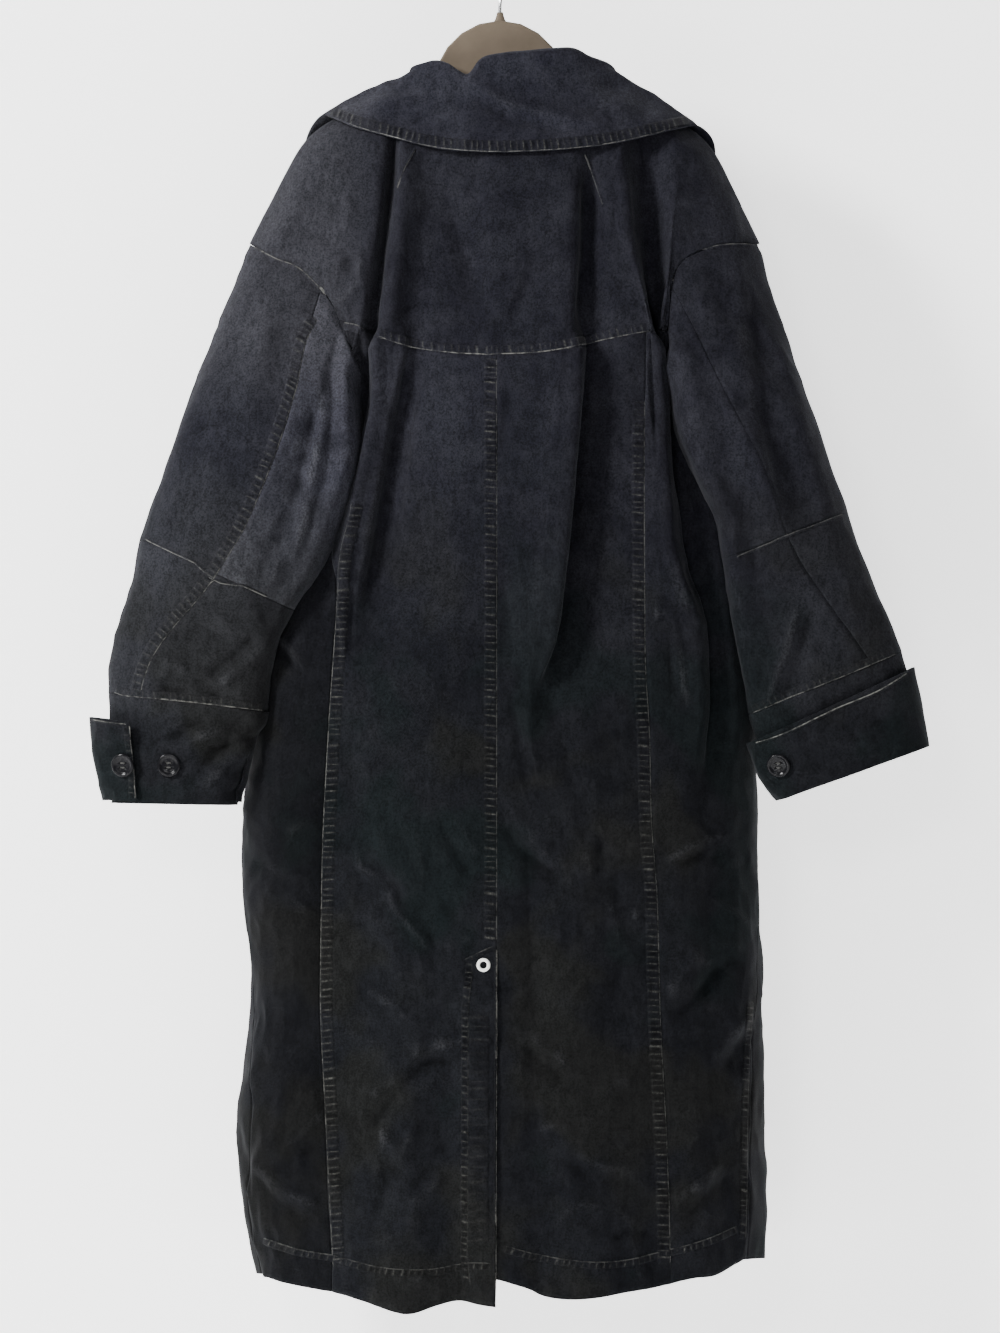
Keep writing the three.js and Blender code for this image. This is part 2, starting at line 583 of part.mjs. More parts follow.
// Buttons and the eyelet: the piece each lies on and where
const BUTTONS = [
  { name: 'cuff_button_left_flap', on: 'cuff_turnback_left', x: -361, z: -784, side: -1 },
  { name: 'cuff_button_left_band', on: 'cuff_band_left', x: -317, z: -784, side: -1 },
  { name: 'cuff_button_right', on: 'cuff_turnback_right', x: 267, z: -784, side: -1 },
  { name: 'front_button_1', on: 'front_left', x: 3, z: -318, side: 1 },
  { name: 'front_button_2', on: 'front_left', x: 3, z: -438, side: 1 },
  { name: 'front_button_3', on: 'front_left', x: 3, z: -558, side: 1 },
  { name: 'front_button_4', on: 'front_left', x: 3, z: -678, side: 1 },
];
const EYELET_X = -15.8;
const EYELET_Z = -974.1;

const V = (x, y, z) => new THREE.Vector3(x, y, z);
const mix = (a, b, t) => a + (b - a) * t;
const clamp01 = (t) => Math.min(1, Math.max(0, t));
const smooth = (t) => clamp01(t) ** 2 * (3 - 2 * clamp01(t));

// A smooth curve through a table's rows that doesn't overshoot
function curve(rows, key, value) {
  const sorted = [...rows].sort((a, b) => a[key] - b[key]);
  const at = sorted.map((r) => r[key]);
  const val = sorted.map((r) => r[value]);
  const step = at.slice(1).map((a, i) => (val[i + 1] - val[i]) / (a - at[i]));
  const slope = val.map((_, i) => {
    if (i === 0) return step[0];
    if (i === val.length - 1) return step[i - 1];
    if (step[i - 1] * step[i] <= 0) return 0;
    return (2 * step[i - 1] * step[i]) / (step[i - 1] + step[i]);
  });
  return (p) => {
    if (p <= at[0]) return val[0];
    if (p >= at[at.length - 1]) return val[val.length - 1];
    let i = 0;
    while (p > at[i + 1]) i += 1;
    const w = at[i + 1] - at[i];
    const t = (p - at[i]) / w;
    const a = (1 + 2 * t) * (1 - t) ** 2 * val[i] + t * (1 - t) ** 2 * w * slope[i];
    return a + t * t * (3 - 2 * t) * val[i + 1] + t * t * (t - 1) * w * slope[i + 1];
  };
}

const LEFT = curve(OUTLINE, 'z', 'left');
const RIGHT = curve(OUTLINE, 'z', 'right');
const BACK = curve(OUTLINE, 'z', 'back');
const FRONT = curve(OUTLINE, 'z', 'front');
const centreX = (z) => (LEFT(z) + RIGHT(z)) / 2;
const halfWidth = (z) => (RIGHT(z) - LEFT(z)) / 2;

// The angle round the body at height z of a point at x: 0 at the back's middle, a quarter turn at a side
function angleAt(x, z) {
  const share = (x - centreX(z)) / halfWidth(z);
  const s = Math.min(1, Math.abs(share)) ** (ROUNDNESS / 2);
  return Math.sign(share) * Math.asin(s);
}

// The body's surface at an angle and height, lifted along its normal
function bodyPoint(angle, z, out) {
  const s = Math.sin(angle);
  const c = Math.cos(angle);
  const across = Math.sign(s) * Math.abs(s) ** (2 / ROUNDNESS);
  const deep = Math.sign(c) * Math.abs(c) ** (2 / ROUNDNESS);
  const depth = c >= 0 ? BACK(z) : FRONT(z);
  const n = V(across / halfWidth(z), -deep / depth, 0).normalize();
  return V(centreX(z) + across * halfWidth(z), -deep * depth, z).addScaledVector(n, out);
}

// The height of the shoulder and neck edge above a point at x
const shoulderRows = OUTLINE.filter((r) => r.z >= OUTLINE[10].z);
const leftShoulder = curve(shoulderRows.map((r) => ({ x: r.left, z: r.z })), 'x', 'z');
const rightShoulder = curve(shoulderRows.map((r) => ({ x: r.right, z: r.z })), 'x', 'z');
const NECK_LEFT = OUTLINE[0].left;
const NECK_RIGHT = OUTLINE[0].right;
const NECK_DROP = 16;
function topEdge(x) {
  if (x <= NECK_LEFT) return leftShoulder(x);
  if (x >= NECK_RIGHT) return rightShoulder(x);
  const t = (2 * (x - NECK_LEFT)) / (NECK_RIGHT - NECK_LEFT) - 1;
  return OUTLINE[0].z - NECK_DROP * (1 - t ** 4);
}

const yokeSeam = curve(YOKE_SEAM, 'x', 'z');
const hemLeft = curve(HEM_LEFT, 'x', 'z');
const hemRight = curve(HEM_RIGHT, 'x', 'z');
const lines = BACK_LINES.map((l) => ({
  name: l.name,
  x: curve(l.rows, 'z', 'x'),
  out: curve(l.rows, 'z', 'out'),
  topX: l.rows[0].x,
}));
const CENTRE = lines.findIndex((l) => l.name === 'centre');
const PRINCESS_LEFT = lines.findIndex((l) => l.name === 'princess left');
const PRINCESS_RIGHT = lines.findIndex((l) => l.name === 'princess right');
const columnOf = (line) => BACK_CELLS.slice(0, line).reduce((a, b) => a + b, 0);
const COLUMNS = columnOf(lines.length - 1);
const lastRow = YOKE_ROWS + ARM_ROWS + UPPER_ROWS + VENT_ROWS;
const ventRow = YOKE_ROWS + ARM_ROWS + UPPER_ROWS;
const underarmRow = YOKE_ROWS + ARM_ROWS;

const sideSeamLeft = curve(SIDE_SEAM, 'z', 'left');
const sideSeamRight = curve(SIDE_SEAM, 'z', 'right');
function sideAngle(side, z) {
  return (side * (side < 0 ? sideSeamLeft(z) : sideSeamRight(z)) * Math.PI) / 180;
}

// Where a line crosses the yoke seam
function seamHeight(line) {
  let z = yokeSeam(line.x(-360));
  for (let i = 0; i < 12; i += 1) z = yokeSeam(line.x(z));
  return z;
}
const armTop = lines[0].topX;

// One line of the back at a row, as x, z and lift
function linePoint(index, row, side) {
  const line = lines[index];
  const edge = index === 0 || index === lines.length - 1;
  const seamZ = edge ? YOKE_SEAM[index === 0 ? 0 : YOKE_SEAM.length - 1].z : seamHeight(line);
  const topZ = topEdge(line.topX);
  const share = index / (lines.length - 1);
  if (row <= YOKE_ROWS) {
    const t = edge ? row / YOKE_ROWS : (row / YOKE_ROWS) ** 1.3;
    if (edge) return armholePoint(line, seamZ, t);
    const z = mix(topZ, seamZ, t);
    return { x: line.x(z), z, out: line.out(z) * smooth(row / 2) };
  }
  let z;
  if (row <= ventRow) {
    const sideSeamZ = mix(YOKE_SEAM[0].z, YOKE_SEAM[YOKE_SEAM.length - 1].z, share);
    const arm = (UNDERARM_Z - sideSeamZ) / (VENT_TOP - sideSeamZ);
    const r = row - YOKE_ROWS;
    const t = r <= ARM_ROWS ? (arm * r) / ARM_ROWS : mix(arm, 1, (r - ARM_ROWS) / UPPER_ROWS);
    z = mix(seamZ, VENT_TOP, t);
  } else {
    const x = line.x(-1280);
    const hem = side < 0 ? hemLeft(x) : hemRight(x);
    z = mix(VENT_TOP, hem, (row - ventRow) / VENT_ROWS);
  }
  if (edge && row > YOKE_ROWS + ARM_ROWS) {
    const angle = sideAngle(index === 0 ? -1 : 1, z);
    return { x: bodyPoint(angle, z, 0).x, z, out: 0, angle };
  }
  return { x: line.x(z), z, out: line.out(z) };
}

// A point along the armhole's upper part, evenly by length
function armholePoint(line, seamZ, t) {
  const rows = BACK_LINES[line === lines[0] ? 0 : lines.length - 1].rows.filter((r) => r.z >= seamZ - 0.5);
  const run = [0];
  for (let i = 1; i < rows.length; i += 1) {
    run.push(run[i - 1] + Math.hypot(rows[i].x - rows[i - 1].x, rows[i].z - rows[i - 1].z));
  }
  const want = t * run[run.length - 1];
  let i = 0;
  while (i < rows.length - 2 && want > run[i + 1]) i += 1;
  const s = (want - run[i]) / (run[i + 1] - run[i]);
  return { x: mix(rows[i].x, rows[i + 1].x, s), z: mix(rows[i].z, rows[i + 1].z, s), out: 0 };
}

// The back's grid: grid[row][column] for the left or right half
function backGrid(side) {
  const grid = [];
  for (let row = 0; row <= lastRow; row += 1) {
    const out = [];
    for (let k = 0; k < lines.length - 1; k += 1) {
      const a = linePoint(k, row, side);
      const b = linePoint(k + 1, row, side);
      const cells = BACK_CELLS[k];
      for (let c = k === 0 ? 0 : 1; c <= cells; c += 1) {
        const s = c / cells;
        const lift = mix(a.out, b.out, smooth(s));
        if (row < YOKE_ROWS) {
          const a0 = linePoint(k, 0, side);
          const b0 = linePoint(k + 1, 0, side);
          const a1 = linePoint(k, YOKE_ROWS, side);
          const b1 = linePoint(k + 1, YOKE_ROWS, side);
          const topX = mix(a0.x, b0.x, s);
          const fixTop = topEdge(topX) - mix(a0.z, b0.z, s);
          const seamX = mix(a1.x, b1.x, s);
          const fixSeam = yokeSeam(seamX) - mix(a1.z, b1.z, s);
          const t = row / YOKE_ROWS;
          const x = mix(a.x, b.x, s);
          const z = mix(a.z, b.z, s) + mix(fixTop, fixSeam, t);
          const p = bodyPoint(angleAt(x, z), z, lift);
          out.push(row === 0 ? V(x, p.y, z) : p);
        } else {
          let z = mix(a.z, b.z, s);
          if (row === YOKE_ROWS) z = yokeSeam(mix(a.x, b.x, s));
          const angle = mix(a.angle ?? angleAt(a.x, a.z), b.angle ?? angleAt(b.x, b.z), s);
          out.push(bodyPoint(angle, z, lift));
        }
      }
    }
    grid.push(out);
  }
  return grid;
}

const leftGrid = backGrid(-1);
const rightGrid = backGrid(1);

// Open sheets of the coat, kept until every seam's normals are known
const sheets = [];
const seamNormals = new Map();
const keyOf = (p) => `${Math.round(p.x * 20)},${Math.round(p.y * 20)},${Math.round(p.z * 20)}`;

// A sheet from quads of points; points at one place are one vertex
function addSheet(name, quads, inside, options = {}) {
  const index = new Map();
  const points = [];
  const faces = quads.map((quad) => quad.map((p) => {
    const key = `${p.x.toFixed(3)},${p.y.toFixed(3)},${p.z.toFixed(3)}`;
    if (!index.has(key)) {
      index.set(key, points.length);
      points.push(p);
    }
    return index.get(key);
  })).filter((f) => new Set(f).size > 2);
  let outward = 0;
  const normals = points.map(() => V(0, 0, 0));
  for (const f of faces) {
    const [a, b, c, d] = f.map((i) => points[i]);
    const n = c.clone().sub(a).cross(d.clone().sub(b));
    const mid = a.clone().add(b).add(c).add(d).multiplyScalar(0.25);
    outward += n.dot(mid.sub(inside(a)));
    for (const i of f) normals[i].add(n);
  }
  if (outward < 0) {
    faces.forEach((f) => f.reverse());
    normals.forEach((n) => n.negate());
  }
  points.forEach((p, i) => {
    const key = keyOf(p);
    if (!seamNormals.has(key)) seamNormals.set(key, V(0, 0, 0));
    seamNormals.get(key).add(normals[i].clone().normalize());
  });
  const sheet = { name, points, faces, options };
  sheets.push(sheet);
  return sheet;
}

function gridQuads(grid, rowA, rowB, colA, colB) {
  const quads = [];
  for (let r = rowA; r < rowB; r += 1) {
    for (let c = colA; c < colB; c += 1) {
      quads.push([grid[r][c], grid[r][c + 1], grid[r + 1][c + 1], grid[r + 1][c]]);
    }
  }
  return quads;
}

// A closed wall from a sheet: edges drawn in for the seam gap, the other side a wall's thickness inward
function wall(sheet) {
  const { points, faces, options } = sheet;
  const thick = options.thick ?? CLOTH;
  const normals = points.map((p) => seamNormals.get(keyOf(p)).clone().normalize());
  const edges = new Map();
  faces.forEach((f) => f.forEach((a, i) => {
    const b = f[(i + 1) % f.length];
    if (edges.has(`${b},${a}`)) edges.delete(`${b},${a}`);
    else edges.set(`${a},${b}`, [a, b]);
  }));
  const rim = [...edges.values()];
  const pull = new Map();
  for (const f of faces) {
    const mid = f.reduce((m, i) => m.add(points[i]), V(0, 0, 0)).multiplyScalar(1 / f.length);
    for (const i of f) {
      if (!pull.has(i)) pull.set(i, V(0, 0, 0));
      pull.get(i).add(mid.clone().sub(points[i]).normalize());
    }
  }
  const outer = points.map((p) => p.clone());
  const onRim = new Map();
  for (const [a, b] of rim) {
    const along = points[b].clone().sub(points[a]).normalize();
    for (const i of [a, b]) {
      if (!onRim.has(i)) onRim.set(i, []);
      onRim.get(i).push(along);
    }
  }
  for (const [i, alongs] of onRim) {
    const dir = pull.get(i).clone();
    const corner = alongs.length > 1 && alongs[0].dot(alongs[1]) < 0.75;
    if (!corner) {
      const along = alongs.reduce((m, v) => m.add(v), V(0, 0, 0)).normalize();
      dir.addScaledVector(along, -dir.dot(along));
    }
    dir.addScaledVector(normals[i], -dir.dot(normals[i])).normalize();
    const inset = options.inset ? options.inset(points[i]) : SEAM_INSET;
    outer[i].addScaledVector(dir, inset * (corner ? 1.4 : 1));
    if (options.shift) outer[i].add(options.shift(points[i]));
  }
  const inner = outer.map((p, i) => p.clone().addScaledVector(normals[i], -thick));
  const pos = [];
  const tri = (a, b, c) => pos.push(a.x, a.y, a.z, b.x, b.y, b.z, c.x, c.y, c.z);
  for (const f of faces) {
    if (f.length === 3) {
      tri(outer[f[0]], outer[f[1]], outer[f[2]]);
      tri(inner[f[0]], inner[f[2]], inner[f[1]]);
      continue;
    }
    const even = outer[f[0]].distanceTo(outer[f[2]]) <= outer[f[1]].distanceTo(outer[f[3]]);
    const [a, b, c, d] = even ? f : [f[1], f[2], f[3], f[0]];
    tri(outer[a], outer[b], outer[c]);
    tri(outer[a], outer[c], outer[d]);
    tri(inner[a], inner[c], inner[b]);
    tri(inner[a], inner[d], inner[c]);
  }
  for (const [a, b] of rim) {
    tri(outer[b], outer[a], inner[a]);
    tri(outer[b], inner[a], inner[b]);
  }
  const g = new THREE.BufferGeometry();
  g.setAttribute('position', new THREE.Float32BufferAttribute(pos, 3));
  g.computeVertexNormals();
  sheet.outer = outer;
  return g;
}

const insideBody = (p) => V(centreX(p.z), 0, p.z - 10);

// Back panels
addSheet('back_yoke', [
  ...gridQuads(leftGrid, 0, YOKE_ROWS, 0, COLUMNS),
], insideBody);
const cl = columnOf(PRINCESS_LEFT);
const cc = columnOf(CENTRE);
const cr = columnOf(PRINCESS_RIGHT);
addSheet('side_back_left', gridQuads(leftGrid, YOKE_ROWS, lastRow, 0, cl), insideBody);
addSheet('back_centre_left', gridQuads(leftGrid, YOKE_ROWS, lastRow, cl, cc), insideBody);

// The right half dips under the left at the vent and runs on under it
for (let row = ventRow + 1; row <= lastRow; row += 1) {
  const edge = rightGrid[row][cc];
  const under = leftGrid[row];
  rightGrid[row][cc] = V(edge.x, edge.y + VENT_DROP, edge.z);
  rightGrid[row].lap = [1, 2].map((i) => {
    const x = edge.x - (VENT_LAP * i) / 2;
    const z = edge.z;
    const line = under.find((p) => p.x > x) ?? edge;
    return V(x, bodyPoint(angleAt(x, z), z, liftAt(x, z)).y + VENT_DROP, z);
  });
}
function liftAt(x, z) {
  let k = 0;
  while (k < lines.length - 2 && lines[k + 1].x(z) < x) k += 1;
  const a = lines[k].x(z);
  const b = lines[k + 1].x(z);
  return mix(lines[k].out(z), lines[k + 1].out(z), smooth((x - a) / (b - a)));
}
const lapQuads = [];
for (let row = ventRow + 1; row < lastRow; row += 1) {
  const a = [rightGrid[row].lap[1], rightGrid[row].lap[0], rightGrid[row][cc]];
  const b = [rightGrid[row + 1].lap[1], rightGrid[row + 1].lap[0], rightGrid[row + 1][cc]];
  for (let i = 0; i < 2; i += 1) lapQuads.push([a[i], a[i + 1], b[i + 1], b[i]]);
}
addSheet('back_centre_right', [
  ...gridQuads(rightGrid, YOKE_ROWS, lastRow, cc, cr),
  ...lapQuads,
], insideBody);
addSheet('side_back_right', gridQuads(rightGrid, YOKE_ROWS, lastRow, cr, COLUMNS), insideBody);

// Fronts: from the shoulder and side seam to the lapped front edge
function frontLift(x, z) {
  const down = clamp01((z + 400) / (-1298 + 400));
  const fade = smooth((z + 330) / -200);
  let lift = 0;
  for (const f of FRONT_FOLDS) {
    const fx = mix(f.chestX, f.hemX, down);
    lift += f.out * fade * smooth((Math.abs(x) - 28) / 36) * (0.55 + 0.45 * down) * Math.exp(-(((x - fx) / f.wide) ** 2));
  }
  return lift;
}
function frontGrid(side) {
  const back = side < 0 ? leftGrid : rightGrid;
  const shoulderCells = side < 0
    ? columnOf(lines.findIndex((l) => l.name === 'left fold hollow'))
    : COLUMNS - columnOf(lines.findIndex((l) => l.name === 'right fold hollow'));
  const shoulderCols = [...Array(shoulderCells + 1).keys()]
    .map((i) => (side < 0 ? i : COLUMNS - i));
  const sideCol = side < 0 ? 0 : COLUMNS;
  const top = shoulderCols.map((c) => back[0][c]);
  const endX = side < 0 ? FRONT_LAP : -FRONT_LAP;
  for (let i = 1; i <= FRONT_NECK_CELLS; i += 1) {
    const s = i / FRONT_NECK_CELLS;
    const p = neckEdge(side, s);
    top.push(V(p.x, 0, p.z));
  }
  const cols = top.length - 1;
  const edgeX = (z) => endX;
  const grid = [];
  const drop = (x) => (side > 0 ? FRONT_DROP * smooth((88 - x) / 30) : 0);
  const place = (angle, z) => {
    const base = bodyPoint(angle, z, 0);
    return bodyPoint(angle, z, frontLift(base.x, z) - drop(base.x));
  };
  const frontAngle = (x, z) => {
    const a = angleAt(x, z);
    return side < 0 ? -Math.PI - a : Math.PI - a;
  };
  for (let row = 0; row <= lastRow; row += 1) {
    const out = [];
    const edge = back[row][sideCol];
    const hemZ = -1284;
    for (let c = 0; c <= cols; c += 1) {
      const s = c / cols;
      if (row >= underarmRow) {
        const t = (row - underarmRow) / (lastRow - underarmRow);
        const endZ = mix(-440, hemZ, t);
        const z = mix(edge.z, endZ, s);
        const from = row === underarmRow ? (side * Math.PI) / 2 : sideAngle(side, edge.z);
        const angle = mix(from, frontAngle(edgeX(z), z), s);
        out.push(c === 0 ? edge : place(angle, z));
        continue;
      }
      const t = row / underarmRow;
      const under = back[underarmRow][sideCol];
      const zUnder = mix(UNDERARM_Z, -440, s);
      const angleUnder = mix((side * Math.PI) / 2, frontAngle(edgeX(zUnder), zUnder), s);
      const low = bodyPoint(angleUnder, zUnder, 0);
      const tt = mix(t, t ** 1.2, clamp01(s * 4));
      const x = mix(top[c].x, low.x, tt) + (1 - s) * (edge.x - mix(top[0].x, under.x, tt));
      const z = mix(top[c].z, low.z, tt) + (1 - s) * (edge.z - mix(top[0].z, under.z, tt));
      if (row === 0 && c < shoulderCols.length) out.push(top[c]);
      else if (row === 0) out.push(V(x, place(frontAngle(x, z), z).y, z));
      else out.push(place(frontAngle(x, z), z));
    }
    grid.push(out);
  }
  return grid;
}
const frontLeftGrid = frontGrid(-1);
const frontRightGrid = frontGrid(1);
const rowsAll = (g) => gridQuads(g, 0, lastRow, 0, g[0].length - 1);
addSheet('front_left', rowsAll(frontLeftGrid), insideBody);
addSheet('front_right', rowsAll(frontRightGrid), insideBody);

// Sleeves
function sleeveRing(table, row, angle, lift) {
  const at = (key) => curve(table, 'row', key)(row);
  const s = Math.cos(angle);
  const c = Math.sin(angle);
  const across = Math.sign(s) * Math.abs(s) ** (2 / ROUNDNESS);
  const deep = Math.sign(c) * Math.abs(c) ** (2 / ROUNDNESS);
  const edge = V(at('outerX'), at('outerY'), at('outerZ'));
  const inner = V(at('innerX'), at('innerY'), at('innerZ'));
  const mid = edge.clone().add(inner).multiplyScalar(0.5);
  const half = edge.clone().sub(inner).multiplyScalar(0.5);
  const depth = c >= 0 ? at('back') : at('front');
  const p = mid.clone().addScaledVector(half, across).add(V(0, -deep * depth, 0));
  const n = half.clone().multiplyScalar(across / half.lengthSq()).add(V(0, -deep / depth, 0)).normalize();
  return p.addScaledVector(n, lift);
}
// The angle of a point a share of the way across from the outer edge
function acrossAngle(share) {
  const a = 1 - 2 * share;
  const s = Math.abs(a) ** (ROUNDNESS / 2);
  return a >= 0 ? Math.acos(s) : Math.PI - Math.acos(s);
}
const seamAcross = curve(SLEEVE_SEAM, 'row', 'across');
const armCells = underarmRow;
const seamCell = 5;
function sleeveAngle(j, row) {
  const seam = acrossAngle(seamAcross(row));
  const k = j <= armCells ? j : 2 * armCells - j;
  const a = k <= seamCell ? (seam * k) / seamCell : mix(seam, Math.PI, (k - seamCell) / (armCells - seamCell));
  return j <= armCells ? a : 2 * Math.PI - a;
}
function sleeveLift(which, row, j) {
  if (j > armCells) return 0;
  const angle = sleeveAngle(j, row);
  const across = (1 - Math.sign(Math.cos(angle)) * Math.abs(Math.cos(angle)) ** (2 / ROUNDNESS)) / 2;
  let lift = 0;
  for (const f of SLEEVE_FOLDS[which]) {
    const t = (row - f.fromRow) / (f.toRow - f.fromRow);
    if (t <= 0 || t >= 1) continue;
    const at = mix(f.fromAcross, f.toAcross, t);
    lift += f.out * smooth(Math.min(t, 1 - t) * 4) * Math.exp(-(((across - at) / f.wide) ** 2));
  }
  return lift;
}
function sleeveGrid(which) {
  const sign = which === 'left' ? -1 : 1;
  const table = which === 'left' ? SLEEVE_LEFT : SLEEVE_RIGHT;
  const back = which === 'left' ? leftGrid : rightGrid;
  const front = which === 'left' ? frontLeftGrid : frontRightGrid;
  const sideCol = which === 'left' ? 0 : COLUMNS;
  const ring0 = [];
  for (let j = 0; j <= armCells; j += 1) ring0.push(back[j][sideCol]);
  for (let j = 1; j < armCells; j += 1) ring0.push(front[armCells - j][0]);
  ring0.push(ring0[0]);
  const rows = [0, 0.35, 1, 2, 3, 4, 4.5, 5, 5.5, 6, 7, 8, 9];
  return rows.map((row) => ring0.map((p, j) => {
    if (row === 0) return p;
    const jj = j === 2 * armCells ? 0 : j;
    const ring = sleeveRing(table, row, sleeveAngle(jj, row), sleeveLift(which, row, jj));
    const start = sleeveRing(table, 0, sleeveAngle(jj, 0), 0);
    const keep = Math.max(0, 1 - row / 2.5);
    const away = UNDERARM_EASE * Math.exp(-(((jj - armCells) / 2.2) ** 2)) * Math.max(0.3, 1 - row / 3);
    ring.x += sign * away;
    return ring.addScaledVector(p.clone().sub(start), keep);
  }));
}
for (const which of ['left', 'right']) {
  const grid = sleeveGrid(which);
  const sign = which === 'left' ? -1 : 1;
  const table = which === 'left' ? SLEEVE_LEFT : SLEEVE_RIGHT;
  const ringAxis = (p) => {
    let best = table[0];
    let far = Infinity;
    for (const r of table) {
      const d = Math.hypot(p.x - (r.outerX + r.innerX) / 2, p.z - (r.outerZ + r.innerZ) / 2);
      if (d < far) {
        far = d;
        best = r;
      }
    }
    return V((best.outerX + best.innerX) / 2, (best.outerY + best.innerY) / 2, (best.outerZ + best.innerZ) / 2);
  };
  const ring0 = new Set(grid[0].map(keyOf));
  const options = {
    shift: (p) => {
      if (!ring0.has(keyOf(p))) return V(0, 0, 0);
      const start = SLEEVE_START + UNDERARM_START * smooth((-370 - p.z) / 40);
      return V(sign * start, 0, -0.4 * start);
    },
  };
  const elbow = 7;
  const last = grid.length - 1;
  const back = 2 * armCells;
  const outerQuads = (a, b) => [
    ...gridQuads(grid, a, b, 0, seamCell),
    ...gridQuads(grid, a, b, back - seamCell, back),
  ];
  addSheet(`sleeve_${which}_upper_outer`, outerQuads(0, elbow), ringAxis, options);
  addSheet(`sleeve_${which}_upper_under`, gridQuads(grid, 0, elbow, seamCell, back - seamCell), ringAxis, options);
  addSheet(`sleeve_${which}_lower_outer`, outerQuads(elbow, last), ringAxis);
  addSheet(`sleeve_${which}_lower_under`, gridQuads(grid, elbow, last, seamCell, back - seamCell), ringAxis);

  // Cuff band: the sleeve's end below the cuff seam, in a back half and a front half sharing one piece
  const bandTable = which === 'left' ? BAND_LEFT : BAND_RIGHT;
  const bandRows = [0, 0.5, 1, 2, 3];
  const bandGrid = bandRows.map((row) => grid[last].map((p, j) => {
    if (row === 0) return p;
    const jj = j === back ? 0 : j;
    return sleeveRing(bandTable, row, sleeveAngle(jj, 9), 0);
  }));
  addSheet(`cuff_band_${which}`, gridQuads(bandGrid, 0, bandRows.length - 1, 0, back), ringAxis);

  // Turned-back cuff: a band round the outside, open over part of the way
  const turn = which === 'left' ? TURNBACK_LEFT : TURNBACK_RIGHT;
  const open = TURNBACK_OPEN[which];
  const turnGrid = [0, 0.5, 1, 1.5, 2].map((row) => {
    const ring = [];
    for (let i = 0; i <= TURNBACK_CELLS; i += 1) {
      const a = mix(open.start, open.end, i / TURNBACK_CELLS);
      ring.push(sleeveRing(turn, row, a, -TURNBACK_CLOSE[which] * smooth(row - 1)));
    }
    return ring;
  });
  addSheet(`cuff_turnback_${which}`, gridQuads(turnGrid, 0, 4, 0, TURNBACK_CELLS), ringAxis, { thick: 2.6 });
}

// The fronts' neck edge: from a neck side to the lapped edge
function neckEdge(side, s) {
  const startX = side < 0 ? NECK_LEFT : NECK_RIGHT;
  return { x: mix(startX, -side * FRONT_LAP, s), z: mix(OUTLINE[0].z, BREAK_Z, s) };
}

// Collar: up the stand, over the roll and down over the shoulders
function collarFrame(l, i) {
  const side = i < COLLAR_LINES.length / 2 ? -1 : 1;
  if (l.side === 'front') {
    const p = neckEdge(side, l.alongNeck);
    const q = neckEdge(side, l.alongNeck + 0.05);
    const along = V(q.x - p.x, 0, q.z - p.z).normalize();
    const up = V(-side * -along.z, 0, -side * along.x);
    if (up.z < 0) up.negate();
    const rise = mix(14, 12, smooth(l.alongNeck * 2));
    const y = (bodyDepth(p.x, p.z, 1) + 3.5) * smooth(l.alongNeck * 6 + 0.2);
    const roll = V(p.x, y, p.z).addScaledVector(up, rise);
    return { rollX: roll.x, rollY: roll.y, rollZ: roll.z, upX: up.x, face: 1, stand: rise - 6.5 };
  }
  const face = l.side === 'back' ? -1 : 0;
  const foot = topEdge(l.rollX) + 2;
  return { rollX: l.rollX, rollY: l.rollY, rollZ: l.rollZ, upX: 0, face, stand: l.rollZ - foot };
}
function collarGrid() {
  const rowsIn = COLLAR_LINES.map((l, i) => ({ ...l, ...collarFrame(l, i), at: i }));
  const keys = ['rollX', 'rollY', 'rollZ', 'edgeX', 'edgeZ', 'stand', 'upX', 'face'];
  const f = Object.fromEntries(keys.map((k) => [k, curve(rowsIn, 'at', k)]));
  const grid = [];
  const count = (COLLAR_LINES.length - 1) * COLLAR_STEPS;
  for (let i = 0; i <= count; i += 1) {
    const at = i / COLLAR_STEPS;
    const roll = V(f.rollX(at), f.rollY(at), f.rollZ(at));
    const face = f.face(at);
    const outX = (at < count / COLLAR_STEPS / 2 ? -1 : 1) * Math.sqrt(Math.max(0, 1 - face * face));
    const outDir = V(outX, face, 0).normalize();
    const upX = f.upX(at);
    const up = V(upX, 0, Math.sqrt(1 - upX * upX));
    const off = (o, u) => roll.clone().addScaledVector(outDir, o * COLLAR_ROLL).addScaledVector(up, u);
    const foot = off(-1, -f.stand(at));
    if (face < 0.5) foot.z = Math.max(foot.z, topEdge(foot.x) + 2.6);
    if (Math.abs(face) < 0.95) foot.z = Math.max(foot.z, NECK_FOOT);
    const bend = -Math.min(5, f.stand(at) * 0.6);
    const line = [foot, foot.clone().lerp(off(-1, bend), 0.5), off(-1, bend), off(-0.7, -1.4), roll.clone(), off(0.7, -1.4)];
    const start = off(1, -6);
    for (const t of [0, 0.15, 0.35, 0.58, 0.8, 1]) {
      const x = mix(start.x, f.edgeX(at), t);
      const z = mix(start.z, f.edgeZ(at), t) + 5 * Math.sin(Math.PI * t) * (1 - Math.abs(face));
      const y = mix(start.y, overBody(x, z, face), smooth(t * 1.6));
      line.push(V(x, clearOf(x, z, y, face), z));
    }
    grid.push(line);
  }
  return grid;
}
